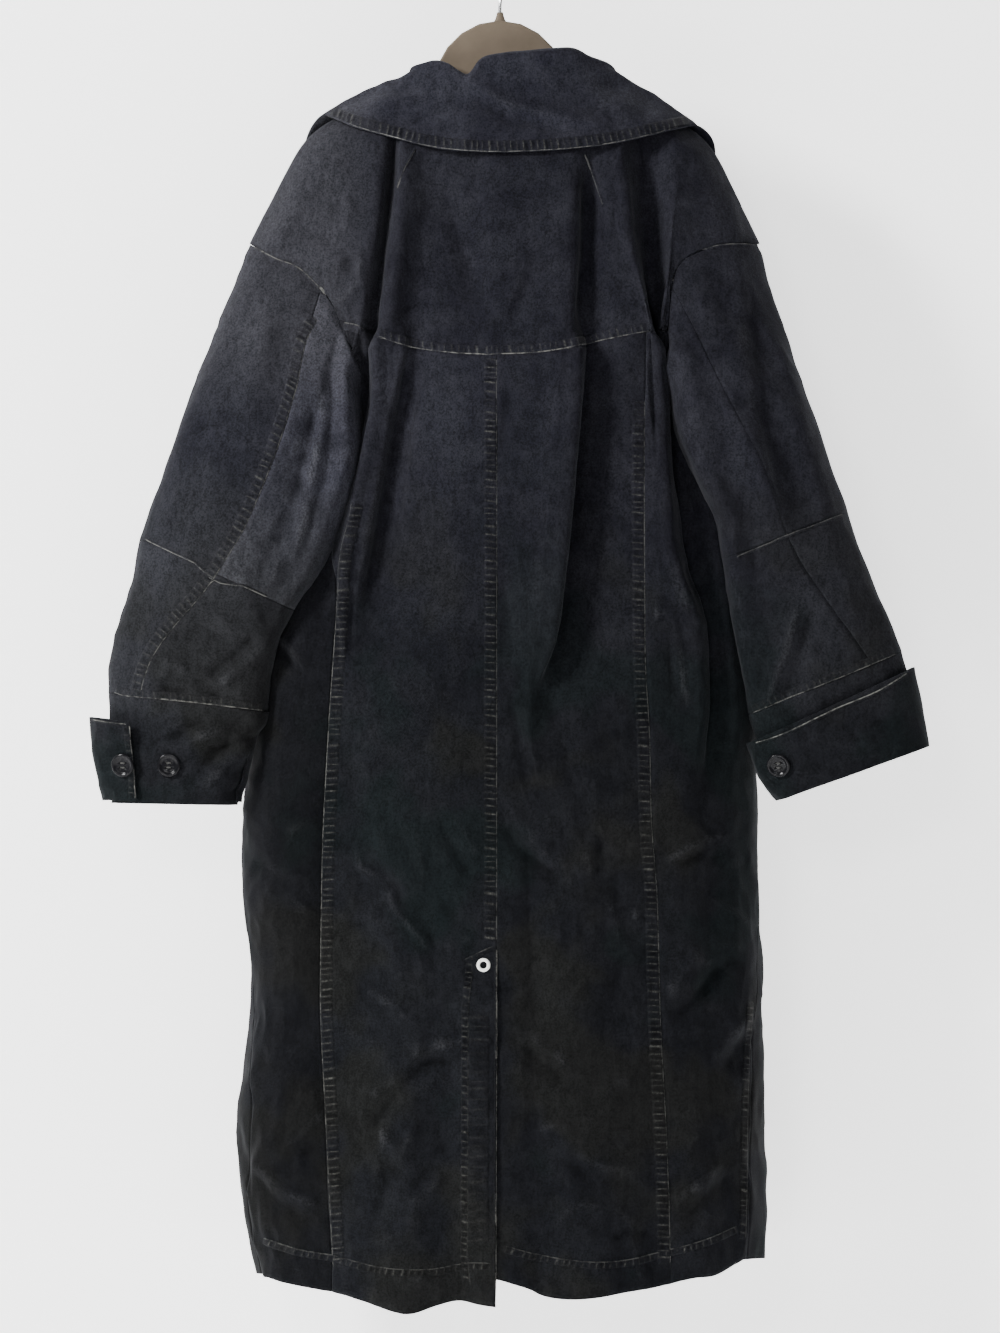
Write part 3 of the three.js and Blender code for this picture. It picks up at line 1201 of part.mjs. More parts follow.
// How far out the collar lies over the body at a point, and the least it must keep clear
function bodyDepth(x, z, face) {
  const top = OUTLINE[0].z;
  if (z > top) return 0;
  const share = Math.abs((x - centreX(z)) / halfWidth(z));
  if (share >= 1) return 0;
  return (face < 0 ? BACK(z) : FRONT(z)) * (1 - share ** ROUNDNESS) ** (1 / ROUNDNESS);
}
function overBody(x, z, face) {
  return face * (bodyDepth(x, z, face) + COLLAR_CLEAR);
}
function clearOf(x, z, y, face) {
  const need = bodyDepth(x, z, face) + COLLAR_CLEAR * Math.min(1, Math.abs(face) * 1.5);
  if (face < -0.2 && bodyDepth(x, z, face) > 0) return Math.min(y, -need);
  if (face > 0.2 && bodyDepth(x, z, face) > 0) return Math.max(y, need);
  return y;
}
const collar = collarGrid();
addSheet('collar', gridQuads(collar, 0, collar.length - 1, 0, collar[0].length - 1), (p) => {
  return V(p.x > 0 ? 40 : -40, 0, p.z - 60);
}, { thick: COLLAR_CLOTH });

const group = new THREE.Group();
group.name = 'duster_coat';
const MATERIALS = {
  cloth: new THREE.MeshStandardMaterial({ color: 0x2b2b2e, roughness: 0.95 }),
  collar: new THREE.MeshStandardMaterial({ color: 0x252528, roughness: 0.95 }),
  button: new THREE.MeshStandardMaterial({ color: 0x101012, roughness: 0.35 }),
  eyelet: new THREE.MeshStandardMaterial({ color: 0xe9e9e4, roughness: 0.4 }),
  hanger: new THREE.MeshStandardMaterial({ color: 0x7d736a, roughness: 0.8 }),
  hook: new THREE.MeshStandardMaterial({ color: 0xc9ccd0, metalness: 1, roughness: 0.15 }),
};
function addMesh(name, geometry, material) {
  const mesh = new THREE.Mesh(geometry, material.clone());
  mesh.name = name;
  group.add(mesh);
}
for (const sheet of sheets) {
  addMesh(sheet.name, wall(sheet), sheet.name === 'collar' ? MATERIALS.collar : MATERIALS.cloth);
}

// The outermost point and normal of a panel at x, z
function pointOn(name, x, z, side) {
  const sheet = sheets.find((s) => s.name === name);
  let best = null;
  for (const f of sheet.faces) {
    const tris = f.length === 4 ? [[f[0], f[1], f[2]], [f[0], f[2], f[3]], [f[0], f[1], f[3]], [f[1], f[2], f[3]]] : [f];
    for (const t of tris) {
      const [a, b, c] = t.map((i) => sheet.outer[i]);
      const d = (b.z - c.z) * (a.x - c.x) + (c.x - b.x) * (a.z - c.z);
      if (Math.abs(d) < 1e-9) continue;
      const u = ((b.z - c.z) * (x - c.x) + (c.x - b.x) * (z - c.z)) / d;
      const v = ((c.z - a.z) * (x - c.x) + (a.x - c.x) * (z - c.z)) / d;
      if (u < -1e-6 || v < -1e-6 || u + v > 1 + 1e-6) continue;
      const y = u * a.y + v * b.y + (1 - u - v) * c.y;
      if (best && y * side <= best.y * side) continue;
      const n = b.clone().sub(a).cross(c.clone().sub(a)).normalize();
      if (n.y * side < 0) n.negate();
      best = { y, n };
    }
  }
  return { point: V(x, best.y, z), normal: best.n };
}

// A round piece on a panel: turned so that it lies on the cloth, clear of it all round
function layOn(geometry, spot, radius, panel, side) {
  const turn = new THREE.Quaternion().setFromUnitVectors(V(0, 0, 1), spot.normal);
  const p = geometry.attributes.position;
  let least = 0;
  for (let i = 0; i < 16; i += 1) {
    const a = (i * Math.PI) / 8;
    const foot = V(Math.cos(a) * radius, Math.sin(a) * radius, 0).applyQuaternion(turn).add(spot.point);
    try {
      const under = pointOn(panel, foot.x, foot.z, side);
      least = Math.max(least, (under.point.y - foot.y) * side);
    } catch {
      least = Math.max(least, 0);
    }
  }
  const centre = spot.point.clone().addScaledVector(spot.normal, 0.45 + least);
  for (let i = 0; i < p.count; i += 1) {
    const v = V(p.getX(i), p.getY(i), p.getZ(i)).applyQuaternion(turn).add(centre);
    p.setXYZ(i, v.x, v.y, v.z);
  }
  geometry.computeVertexNormals();
  return geometry;
}

// A turned piece about Z from a closed profile of radius and height
function turned(profile, segments) {
  const pos = [];
  const at = (r, h, i) => V(r * Math.cos((2 * Math.PI * i) / segments), r * Math.sin((2 * Math.PI * i) / segments), h);
  for (let k = 0; k < profile.length; k += 1) {
    const a = profile[k];
    const b = profile[(k + 1) % profile.length];
    if (a.r === 0 && b.r === 0) continue;
    for (let i = 0; i < segments; i += 1) {
      const p = at(a.r, a.h, i);
      const q = at(a.r, a.h, (i + 1) % segments);
      const s = at(b.r, b.h, i);
      const t = at(b.r, b.h, (i + 1) % segments);
      const push = (...v) => v.forEach((o) => pos.push(o.x, o.y, o.z));
      if (a.r > 0) push(p, q, t);
      if (b.r > 0) push(p, t, s);
      if (a.r === 0) continue;
    }
  }
  const g = new THREE.BufferGeometry();
  g.setAttribute('position', new THREE.Float32BufferAttribute(pos, 3));
  return g;
}

const BUTTON_PROFILE = [
  { r: 0, h: 0 },
  { r: BUTTON_RADIUS - 1.5, h: 0 },
  { r: BUTTON_RADIUS, h: 1.3 },
  { r: BUTTON_RADIUS - 0.6, h: BUTTON_HEIGHT },
  { r: BUTTON_RADIUS - 2.4, h: BUTTON_HEIGHT },
  { r: BUTTON_RADIUS - 3.4, h: BUTTON_HEIGHT - 1 },
  { r: 0, h: BUTTON_HEIGHT - 1 },
];
for (const b of BUTTONS) {
  const spot = pointOn(b.on, b.x, b.z, b.side);
  addMesh(b.name, layOn(turned(BUTTON_PROFILE, 16), spot, BUTTON_RADIUS - 1.5, b.on, b.side), MATERIALS.button);
}
const EYELET_PROFILE = [
  { r: EYELET_HOLE, h: 0 },
  { r: EYELET_RADIUS, h: 0 },
  { r: EYELET_RADIUS - 0.3, h: 0.7 },
  { r: (EYELET_RADIUS + EYELET_HOLE) / 2, h: 1.3 },
  { r: EYELET_HOLE + 0.2, h: 0.8 },
];
const eyeletSpot = pointOn('back_centre_left', EYELET_X, EYELET_Z, -1);
addMesh('vent_eyelet', layOn(turned(EYELET_PROFILE, 20), eyeletSpot, EYELET_RADIUS, 'back_centre_left', -1), MATERIALS.eyelet);

// Hanger: a flat moulded body with softened edges
const shape = new THREE.Shape(HANGER_EDGE.map((p) => new THREE.Vector2(p.x, p.z)));
const hanger = new THREE.ExtrudeGeometry(shape, {
  depth: 2 * (HANGER_HALF - 2),
  bevelEnabled: true,
  bevelThickness: 2,
  bevelSize: 1.5,
  bevelOffset: -1.5,
  bevelSegments: 2,
});
hanger.translate(0, 0, -(HANGER_HALF - 2));
hanger.rotateX(Math.PI / 2);
addMesh('hanger_body', hanger, MATERIALS.hanger);

// Hook: round wire along its line, closed at both ends
const hookCurve = new THREE.CatmullRomCurve3(HOOK_LINE.map((p) => V(p.x, 0, p.z)), false, 'centripetal');
const HOOK_STEPS = 40;
const HOOK_SIDES = 10;
const hookPos = [];
const hookRing = (i, scale) => {
  const p = hookCurve.getPoint(i / HOOK_STEPS);
  const t = hookCurve.getTangent(i / HOOK_STEPS);
  const across = V(t.z, 0, -t.x);
  return [...Array(HOOK_SIDES).keys()].map((k) => {
    const a = (2 * Math.PI * k) / HOOK_SIDES;
    return p.clone().addScaledVector(across, Math.cos(a) * HOOK_WIRE * scale).add(V(0, Math.sin(a) * HOOK_WIRE * scale, 0));
  });
};
const put = (...v) => v.forEach((o) => hookPos.push(o.x, o.y, o.z));
for (let i = 0; i < HOOK_STEPS; i += 1) {
  const a = hookRing(i, 1);
  const b = hookRing(i + 1, 1);
  for (let k = 0; k < HOOK_SIDES; k += 1) {
    const m = (k + 1) % HOOK_SIDES;
    put(a[k], a[m], b[m]);
    put(a[k], b[m], b[k]);
  }
}
for (const end of [0, HOOK_STEPS]) {
  const ring = hookRing(end, 1);
  const mid = hookCurve.getPoint(end / HOOK_STEPS);
  for (let k = 0; k < HOOK_SIDES; k += 1) {
    const m = (k + 1) % HOOK_SIDES;
    if (end === 0) put(mid, ring[m], ring[k]);
    else put(mid, ring[k], ring[m]);
  }
}
const hook = new THREE.BufferGeometry();
hook.setAttribute('position', new THREE.Float32BufferAttribute(hookPos, 3));
hook.computeVertexNormals();
addMesh('hanger_hook', hook, MATERIALS.hook);

// Every mesh faces outward
for (const mesh of group.children) {
  const p = mesh.geometry.attributes.position;
  let volume = 0;
  for (let i = 0; i < p.count; i += 3) {
    const a = V(p.getX(i), p.getY(i), p.getZ(i));
    const b = V(p.getX(i + 1), p.getY(i + 1), p.getZ(i + 1));
    const c = V(p.getX(i + 2), p.getY(i + 2), p.getZ(i + 2));
    volume += a.dot(b.cross(c));
  }
  if (volume < 0) {
    for (let i = 0; i < p.count; i += 3) {
      const x = [p.getX(i + 1), p.getY(i + 1), p.getZ(i + 1)];
      p.setXYZ(i + 1, p.getX(i + 2), p.getY(i + 2), p.getZ(i + 2));
      p.setXYZ(i + 2, ...x);
    }
    mesh.geometry.computeVertexNormals();
  }
}

export default group;
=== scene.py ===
# Duster coat on a flat hanger, seen from behind: cloth shells, seams, buttons, hanger and the scene round it.
# Lengths are metres unless a name or a heading says mm. +Z is up, the coat's back faces -Y.
import math

import bmesh
import bpy
import numpy as np
from mathutils import Matrix, Vector, noise
from mathutils.bvhtree import BVHTree
from mathutils.kdtree import KDTree


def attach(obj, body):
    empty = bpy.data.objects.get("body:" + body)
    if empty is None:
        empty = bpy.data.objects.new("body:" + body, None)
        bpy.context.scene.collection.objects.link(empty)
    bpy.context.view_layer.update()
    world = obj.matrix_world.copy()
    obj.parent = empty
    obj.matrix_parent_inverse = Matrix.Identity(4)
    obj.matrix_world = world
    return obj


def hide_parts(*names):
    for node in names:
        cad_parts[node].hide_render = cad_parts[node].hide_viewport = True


MM = 0.001
CLOTH = 1.5 * MM
# Points of a solid closer than this are one point
SAME = 0.02 * MM
# The deepest wall that counts as cloth, in metres
WALL_MOST = 4.2 * MM
# Cut edges move out this far, so that sewn panels meet
SEAM_GAP = 0.25 * MM
# Sewn edges this close together are shaped alike
RIM_REACH = 2.2 * MM
# Flat cloth round a button or the eyelet, and the way over which the crumples come back, in mm
FLAT_ROUND = 13
FLAT_FADE = 14
# Swells where sleeves, body and left cuff hang against each other, and their fading at the armhole in mm
BODY_SWELL = 11.0 * MM
SLEEVE_SWELL = 12.0 * MM
CUFF_SWELL = 9.0 * MM
ARMHOLE_FADE = 10
# Washing crumples in mm, coarse and fine: what all cloth has, and what the hem has besides
COARSE = (0.7, 2.4)
FINE = (0.45, 1.0)
# The share of the hem's crumples that sleeves and collar have
SLEEVE_CRUMPLES = 0.35
COLLAR_CRUMPLES = 0.1
# Share of a crease over which it fades at each end
CREASE_END = 0.22
# Sewn bands: pitch of their points, of their stitches' puckers, and how far they follow a piece's edge
BAND_PITCH = 1.25 * MM
PUCKER_PITCH = 6.5
BAND_REACH = 7 * MM
ARM_REACH = 14 * MM
# Columns over which the shift to a piece's edge is smoothed
SMOOTHED = 25
# Height of a band's own rims under the cloth, in mm, so that no gap shows
TUCKED = -0.4

# Outlines of turned shapes, (radius, height) in mm: button, eyelet ring, the cone under the hook
BUTTON = [
    (0, 0), (9.2, 0), (10.9, 0.5), (11.5, 1.4), (11.3, 2.4), (10.6, 3.1), (9.7, 3.3), (8.9, 3.1), (8.0, 2.4),
    (7.2, 1.9), (6.0, 1.8), (0, 1.8),
]
EYELET = [
    (3.5, -0.9), (3.4, 0.2), (3.7, 0.75), (4.5, 1.05), (5.5, 0.95), (6.3, 0.4), (6.6, -0.3), (6.5, -0.9),
]
BOSS = [(0, -3.5), (7.5, -3.5), (6.2, -1.5), (4.6, 1.5), (3.4, 5.5), (2.9, 8.0), (0, 8.0)]
# A button's four holes, mm from its centre both ways
HOLE_PLACE = 2.1

# Cloth pieces: node, wall in mm, subdivision levels, cut width and length in metres, share of that
# rectangle that is cloth, how it is held
PANELS = [
    ("back_yoke", 2.2, 3, 0.48, 0.26, 0.94, "hung"),
    ("side_back_left", 2.2, 3, 0.14, 0.94, 0.6, "hung"),
    ("back_centre_left", 2.2, 3, 0.17, 0.96, 0.92, "hung"),
    ("back_centre_right", 2.2, 3, 0.17, 0.96, 0.92, "hung"),
    ("side_back_right", 2.2, 3, 0.17, 0.94, 0.65, "hung"),
    ("front_left", 2.2, 2, 0.37, 1.16, 0.78, "hung"),
    ("front_right", 2.2, 2, 0.37, 1.16, 0.8, "hung"),
    ("sleeve_left_upper_outer", 2.2, 3, 0.22, 0.33, 0.92, "hung"),
    ("sleeve_left_upper_under", 2.2, 3, 0.18, 0.3, 0.85, "hung"),
    ("sleeve_left_lower_outer", 2.2, 3, 0.13, 0.16, 0.95, "hung"),
    ("sleeve_left_lower_under", 2.2, 3, 0.2, 0.14, 0.95, "hung"),
    ("cuff_band_left", 2.2, 3, 0.33, 0.1, 0.95, "hung"),
    ("cuff_turnback_left", 2.6, 3, 0.21, 0.085, 0.98, "folded"),
    ("sleeve_right_upper_outer", 2.2, 3, 0.19, 0.3, 0.95, "hung"),
    ("sleeve_right_upper_under", 2.2, 3, 0.14, 0.26, 0.85, "hung"),
    ("sleeve_right_lower_outer", 2.2, 3, 0.12, 0.16, 0.97, "hung"),
    ("sleeve_right_lower_under", 2.2, 3, 0.22, 0.15, 0.95, "hung"),
    ("cuff_band_right", 2.2, 3, 0.33, 0.09, 0.98, "hung"),
    ("cuff_turnback_right", 2.6, 3, 0.31, 0.08, 0.97, "folded"),
    ("collar", 3.0, 3, 0.7, 0.16, 0.84, "draped"),
]

# How much paler or darker than its neighbours a piece is painted: painted shade on the left side and the
# fronts, whose edges the lamps light strongly, painted light on the left sleeve's under part, which faces
# away from the key lamp, and a small shift on the back's left half and the right sleeve
FADE_AND_PAINTED_LIGHT = {
    "sleeve_left_upper_under": 0.9,
    "side_back_left": -0.35,
    "front_left": -0.35,
    "front_right": -0.2,
    "back_centre_left": 0.12,
    "sleeve_right_upper_outer": -0.08,
}

# Gathers of the vent's facing, a ladder of short ridges: z in mm at the left end, middle and right end
VENT_GATHERS = [
    (-1034, -1029, -1029), (-1046, -1041, -1043), (-1068, -1063, -1067), (-1084, -1079, -1079),
    (-1100, -1095, -1097), (-1110, -1106, -1110), (-1124, -1119, -1119), (-1140, -1135, -1137),
    (-1154, -1149, -1153), (-1172, -1167, -1167), (-1186, -1181, -1183), (-1202, -1197, -1201),
    (-1218, -1213, -1213),
]

# Creases: where, height mm, width mm on the left, width mm on the right, points (x, z) in mm
CREASES = [
    ("body", 5.9, 16, 4, [
        (69, -366), (68, -394), (63, -445), (58, -490), (51, -571), (44, -645), (31, -708), (25, -741),
    ]),
    ("body", -6.4, 5, 19, [
        (79, -349), (79, -394), (75, -445), (71, -497), (64, -571), (55, -645), (42, -708),
    ]),
    ("body", -5.0, 9, 9, [(84, -202), (82, -276), (79, -331), (76, -372)]),
    ("body", 3.9, 10, 5, [(75, -209), (73, -276), (70, -331), (69, -372)]),
    ("body", 4.2, 10, 4, [(-97, -386), (-108, -445), (-115, -497), (-126, -552), (-136, -608), (-142, -645)]),
    ("body", -5.0, 5, 13, [(-84, -372), (-95, -445), (-106, -504), (-117, -564), (-130, -626), (-137, -656)]),
    ("body", -4.5, 11, 11, [(-60, -213), (-49, -239), (-38, -287), (-19, -349)]),
    ("body", -3.5, 9, 12, [(-84, -250), (-88, -320), (-93, -375)]),
    ("body", 3.1, 7, 7, [(-106, -253), (-112, -320), (-114, -372)]),
    ("body", -2.1, 5, 4, [(36, -276), (31, -312), (14, -349), (-1, -372)]),
    ("body", 1.8, 5, 5, [(25, -305), (12, -338), (1, -364)]),
    ("body", -3.1, 7, 7, [(12, -416), (1, -471), (-4, -519)]),
    ("body", -3.3, 9, 8, [(7, -564), (4, -626), (12, -696)]),
    ("body", 2.6, 9, 9, [(21, -571), (18, -630), (23, -682)]),
    ("body", 2.1, 4, 3, [(119, -194), (125, -268), (136, -312), (146, -351)]),
    ("body", 2.4, 4, 3, [(144, -364), (141, -408), (143, -445), (149, -479), (152, -534), (154, -593)]),
    ("body", 4.5, 7, 6, [(154, -582), (162, -600), (171, -623), (180, -648), (176, -667)]),
    ("body", -4.2, 6, 6, [(165, -589), (178, -619), (186, -652)]),
    ("body", 4.2, 5, 7, [(145, -660), (151, -639), (160, -637), (167, -663), (174, -711), (180, -741)]),
    ("body", -3.5, 5, 6, [(151, -656), (160, -656), (164, -689), (167, -726)]),
    ("body", 2.1, 4, 4, [(141, -621), (150, -629), (147, -648)]),
    ("body", 3.1, 5, 4, [(-204, -656), (-195, -672), (-184, -693)]),
    ("body", -3.1, 5, 5, [(-211, -663), (-200, -682), (-187, -704)]),
    ("body", -3.5, 7, 6, [(9, -714), (17, -746), (23, -774), (28, -812)]),
    ("body", 3.1, 7, 7, [(31, -714), (27, -746), (32, -778), (37, -810)]),
    ("body", -3.5, 8, 7, [(39, -702), (55, -742), (62, -782), (62, -822)]),
    ("body", 3.2, 8, 8, [(1, -812), (21, -834), (37, -862), (61, -878)]),
    ("body", -4.6, 6, 6, [(-1, -836), (21, -867), (45, -886), (61, -906)]),
    ("body", -2.7, 4, 4, [(51, -848), (50, -870), (53, -892)]),
    ("body", -2.8, 4, 4, [(98, -848), (95, -870), (97, -890)]),
    ("body", 1.9, 5, 5, [(85, -854), (81, -874), (84, -894)]),
    ("body", -3.4, 6, 5, [(-63, -830), (-47, -860), (-25, -894)]),
    ("body", 2.3, 6, 6, [(-47, -826), (-33, -850), (-19, -874)]),
    ("body", 3.8, 5, 5, [(-141, -854), (-132, -882), (-109, -894), (-99, -922), (-79, -942), (-61, -970)]),
    ("body", -3.8, 5, 6, [(-121, -880), (-101, -902), (-89, -930), (-67, -950), (-55, -970)]),
    ("body", 2.8, 7, 7, [(-169, -810), (-185, -838), (-205, -852)]),
    ("body", -3.4, 9, 8, [(-241, -878), (-221, -884), (-195, -908)]),
    ("body", 2.7, 6, 6, [(-211, -890), (-199, -910), (-179, -926)]),
    ("body", -4.9, 9, 7, [(-127, -1134), (-107, -1106), (-87, -1084), (-67, -1067), (-31, -1064)]),
    ("body", 4.2, 7, 8, [(-119, -1124), (-105, -1142), (-94, -1156), (-86, -1134), (-71, -1110)]),
    ("body", 3.0, 7, 7, [(-91, -1062), (-59, -1050), (-29, -1046)]),
    ("body", -3.4, 8, 8, [(-43, -1138), (-67, -1166), (-89, -1198)]),
    ("body", 3.0, 8, 8, [(-59, -1174), (-79, -1202), (-91, -1230)]),
    ("body", 3.6, 5, 4, [(151, -878), (177, -863), (193, -854), (223, -852)]),
    ("body", 2.8, 4, 4, [(184, -840), (198, -854), (200, -866), (188, -878)]),
    ("body", -3.0, 5, 5, [(169, -882), (189, -870), (217, -872)]),
    ("body", 2.5, 4, 4, [(193, -906), (217, -923), (241, -943)]),
    ("body", -5.7, 9, 8, [(157, -1038), (183, -1012), (211, -978), (235, -964)]),
    ("body", 3.8, 10, 9, [(155, -1006), (175, -982), (193, -958)]),
    ("body", 4.2, 7, 6, [(199, -1074), (213, -1051), (239, -1020)]),
    ("body", -4.2, 8, 8, [(217, -1082), (227, -1058), (243, -1042)]),
    ("body", -3.4, 8, 7, [(3, -1036), (29, -1058), (57, -1083), (75, -1090)]),
    ("body", 2.7, 8, 8, [(21, -1034), (45, -1054), (73, -1070)]),
    ("body", -2.8, 5, 5, [(103, -1244), (123, -1226), (147, -1235)]),
    ("body", 3.2, 7, 7, [(161, -1207), (191, -1180), (219, -1156)]),
    ("body", -3.4, 8, 8, [(173, -1222), (201, -1194), (225, -1174)]),
    ("body", 3.8, 5, 6, [(-239, -1160), (-209, -1190), (-165, -1207)]),
    ("body", -3.0, 6, 7, [(-235, -1178), (-211, -1206), (-179, -1222)]),
    ("body", 2.8, 7, 7, [(-205, -1152), (-181, -1127), (-166, -1112)]),
    ("body", -2.7, 8, 8, [(-193, -1162), (-173, -1142), (-165, -1126)]),
    ("body", 2.8, 8, 7, [(79, -928), (99, -918), (125, -926), (139, -931)]),
    ("body", -3.0, 9, 8, [(115, -940), (118, -982), (99, -1010)]),
    ("body", 1.9, 6, 6, [(-139, -926), (-119, -930), (-99, -938)]),
    ("body", -2.5, 8, 8, [(-151, -926), (-127, -942), (-115, -966)]),
    ("body", 2.3, 8, 8, [(-235, -1106), (-231, -1062), (-229, -1022)]),
    ("body", 2.1, 6, 6, [(21, -1134), (57, -1126), (85, -1138)]),
    ("body", -2.1, 7, 7, [(29, -1174), (61, -1162), (89, -1178)]),
    ("body", 2.1, 7, 7, [(93, -1106), (113, -1086), (137, -1082)]),
    ("body", -2.3, 7, 7, [(-139, -1006), (-119, -1022), (-91, -1018)]),
    ("body", 2.3, 7, 7, [(-131, -990), (-107, -1010), (-83, -1034), (-79, -1062)]),
    *(
        ("body", (3.2, 3.9, 4.6)[k % 3], 4, 4, [((-35, -42)[k % 2], left), (-21, middle), (-6, right)])
        for k, (left, middle, right) in enumerate(VENT_GATHERS)
    ),
    ("body", -5.6, 15, 10, [(144, -194), (148, -280), (155, -371), (157, -453), (161, -549)]),
    ("body_front", 3.8, 9, 9, [(-163, -242), (-149, -366), (-142, -501), (-144, -664)]),
    ("body_front", -3.5, 10, 10, [(-142, -222), (-127, -366), (-120, -530), (-125, -722)]),
    ("body_front", 2.6, 8, 8, [(106, -261), (117, -395), (134, -549), (144, -722)]),
    ("body_front", -2.9, 9, 9, [(82, -280), (94, -414), (110, -587), (117, -760)]),
    ("body_front", 2.3, 7, 7, [(-192, -846), (-149, -894), (-96, -918)]),
    ("body_front", -2.3, 7, 7, [(58, -875), (106, -914), (158, -918)]),
    ("body_front", 2.6, 7, 7, [(-163, -1067), (-106, -1019), (-58, -1010)]),
    ("body_front", -2.6, 8, 8, [(96, -1125), (149, -1067), (192, -1043)]),
    ("body_front", 2.3, 7, 7, [(-77, -1182), (-38, -1125), (-19, -1048)]),
    ("body_front", 2.2, 6, 6, [(58, -1019), (86, -1067), (134, -1096)]),
    ("body_front", -2.0, 7, 7, [(-192, -1192), (-144, -1154), (-77, -1144)]),
    ("body_front", 2.6, 8, 8, [(134, -645), (154, -722), (157, -818)]),
    ("body_front", -2.3, 8, 8, [(-144, -664), (-132, -741), (-142, -818)]),
    ("arm_left", 3.8, 6, 8, [(-175, -405), (-170, -453), (-179, -497), (-188, -552), (-201, -600)]),
    ("arm_left", -3.2, 8, 6, [(-184, -423), (-180, -460), (-191, -504), (-198, -545), (-208, -578)]),
    ("arm_left", -3.5, 7, 9, [(-162, -445), (-162, -490), (-172, -534), (-184, -582), (-193, -612)]),
    ("arm_left", 2.3, 5, 5, [(-220, -613), (-211, -589), (-200, -565)]),
    ("arm_left", -2.6, 5, 5, [(-232, -613), (-222, -586), (-213, -556)]),
    ("arm_left", 2.0, 5, 5, [(-204, -497), (-195, -482), (-189, -460)]),
    ("arm_left", -1.7, 9, 9, [(-252, -349), (-257, -401), (-267, -445)]),
    ("arm_left", 1.9, 9, 9, [(-219, -324), (-224, -372), (-237, -416)]),
    ("arm_left", -1.9, 8, 8, [(-204, -342), (-211, -386), (-224, -431)]),
    ("arm_left", 2.6, 8, 8, [(-321, -645), (-298, -626), (-274, -637), (-250, -664)]),
    ("arm_left", -3.1, 9, 9, [(-317, -674), (-288, -654), (-257, -674), (-235, -712)]),
    ("arm_left", 2.2, 6, 6, [(-245, -626), (-228, -650), (-225, -683)]),
    ("arm_left", -2.2, 6, 6, [(-336, -626), (-350, -664), (-355, -707)]),
    ("arm_left", 1.9, 7, 7, [(-298, -501), (-317, -549), (-326, -587)]),
    ("body", 3.1, 7, 8, [(-220, -285), (-202, -262), (-185, -233)]),
    ("body", -3.1, 8, 7, [(-208, -292), (-189, -277), (-167, -274), (-154, -287)]),
    ("body", 4.9, 5, 6, [(-131, -288), (-134, -318), (-148, -335), (-162, -341)]),
    ("body", -4.2, 7, 6, [(-142, -287), (-148, -312), (-162, -327)]),
    ("body", 2.4, 6, 6, [(-148, -235), (-143, -253), (-148, -276)]),
    ("body", -2.1, 8, 8, [(199, -235), (193, -261), (180, -279)]),
    ("body", 2.3, 7, 6, [(221, -231), (226, -261), (227, -279)]),
    ("arm_right", 3.8, 15, 9, [
        (231, -276), (232, -312), (237, -394), (247, -471), (256, -534), (263, -575),
    ]),
    ("arm_right", -4.2, 10, 21, [
        (239, -283), (240, -320), (247, -394), (256, -471), (267, -534), (276, -571),
    ]),
    ("arm_right", 1.7, 5, 5, [(184, -364), (181, -386), (197, -405)]),
    ("arm_right", -1.7, 7, 7, [(188, -423), (195, -460), (202, -497)]),
    ("arm_right", 2.0, 8, 8, [(176, -423), (189, -471), (210, -519)]),
    ("arm_right", 3.5, 6, 5, [(288, -616), (274, -674), (254, -733)]),
    ("arm_right", -3.8, 7, 8, [(302, -626), (286, -678), (269, -733)]),
    ("arm_right", 2.3, 5, 6, [(223, -587), (235, -616), (232, -664), (240, -712)]),
    ("arm_right", -2.0, 6, 6, [(240, -587), (254, -626), (250, -674)]),
    ("arm_right", 1.9, 8, 8, [(331, -587), (336, -626), (353, -664)]),
    ("arm_right", -1.7, 8, 8, [(288, -366), (302, -453), (322, -530)]),
    ("cuff_left", 2.4, 7, 7, [(-326, -745), (-288, -752), (-250, -747)]),
    ("cuff_left", -2.4, 7, 7, [(-322, -760), (-283, -772), (-246, -762)]),
    ("cuff_left", 2.0, 5, 5, [(-298, -779), (-269, -794), (-250, -808)]),
    ("cuff_right", 1.7, 6, 6, [(288, -755), (336, -768), (398, -741)]),
    ("cuff_right", -1.7, 6, 6, [(278, -779), (326, -789), (384, -765)]),
    ("arm_left", -5.1, 5, 7, [(-230, -658), (-252, -676), (-271, -691), (-285, -703)]),
    ("arm_left", 3.7, 11, 5, [(-223, -664), (-242, -685), (-263, -702), (-275, -712)]),
    ("arm_left", -3.7, 4, 5, [(-294, -699), (-286, -709), (-267, -722)]),
    ("arm_left", 3.7, 5, 5, [(-326, -704), (-319, -685), (-307, -689), (-300, -700)]),
    ("arm_left", -4.1, 7, 5, [(-331, -706), (-315, -712), (-296, -712)]),
    ("arm_left", 2.3, 6, 6, [(-252, -590), (-243, -616), (-237, -635)]),
    ("arm_left", -3.2, 5, 6, [(-202, -534), (-211, -568), (-206, -592)]),
    ("cuff_left", -4.4, 7, 5, [(-340, -764), (-307, -753), (-276, -735)]),
    ("cuff_left", 3.4, 7, 8, [(-336, -775), (-301, -765), (-267, -747)]),
    ("cuff_left", -4.1, 5, 7, [(-307, -810), (-276, -776), (-237, -748)]),
    ("cuff_left", 3.4, 8, 7, [(-292, -812), (-263, -783), (-232, -762)]),
    ("cuff_left", -3.1, 5, 5, [(-267, -813), (-243, -806)]),
    ("collar", 5.1, 9, 9, [(-31, -122), (0, -146), (58, -163), (115, -167)]),
    ("collar", -4.1, 8, 8, [(-29, -141), (10, -163), (67, -176)]),
    ("collar", 3.2, 10, 10, [(-163, -157), (-115, -146), (-67, -141)]),
    ("collar", -3.0, 9, 9, [(-134, -165), (-86, -157), (-48, -157)]),
]

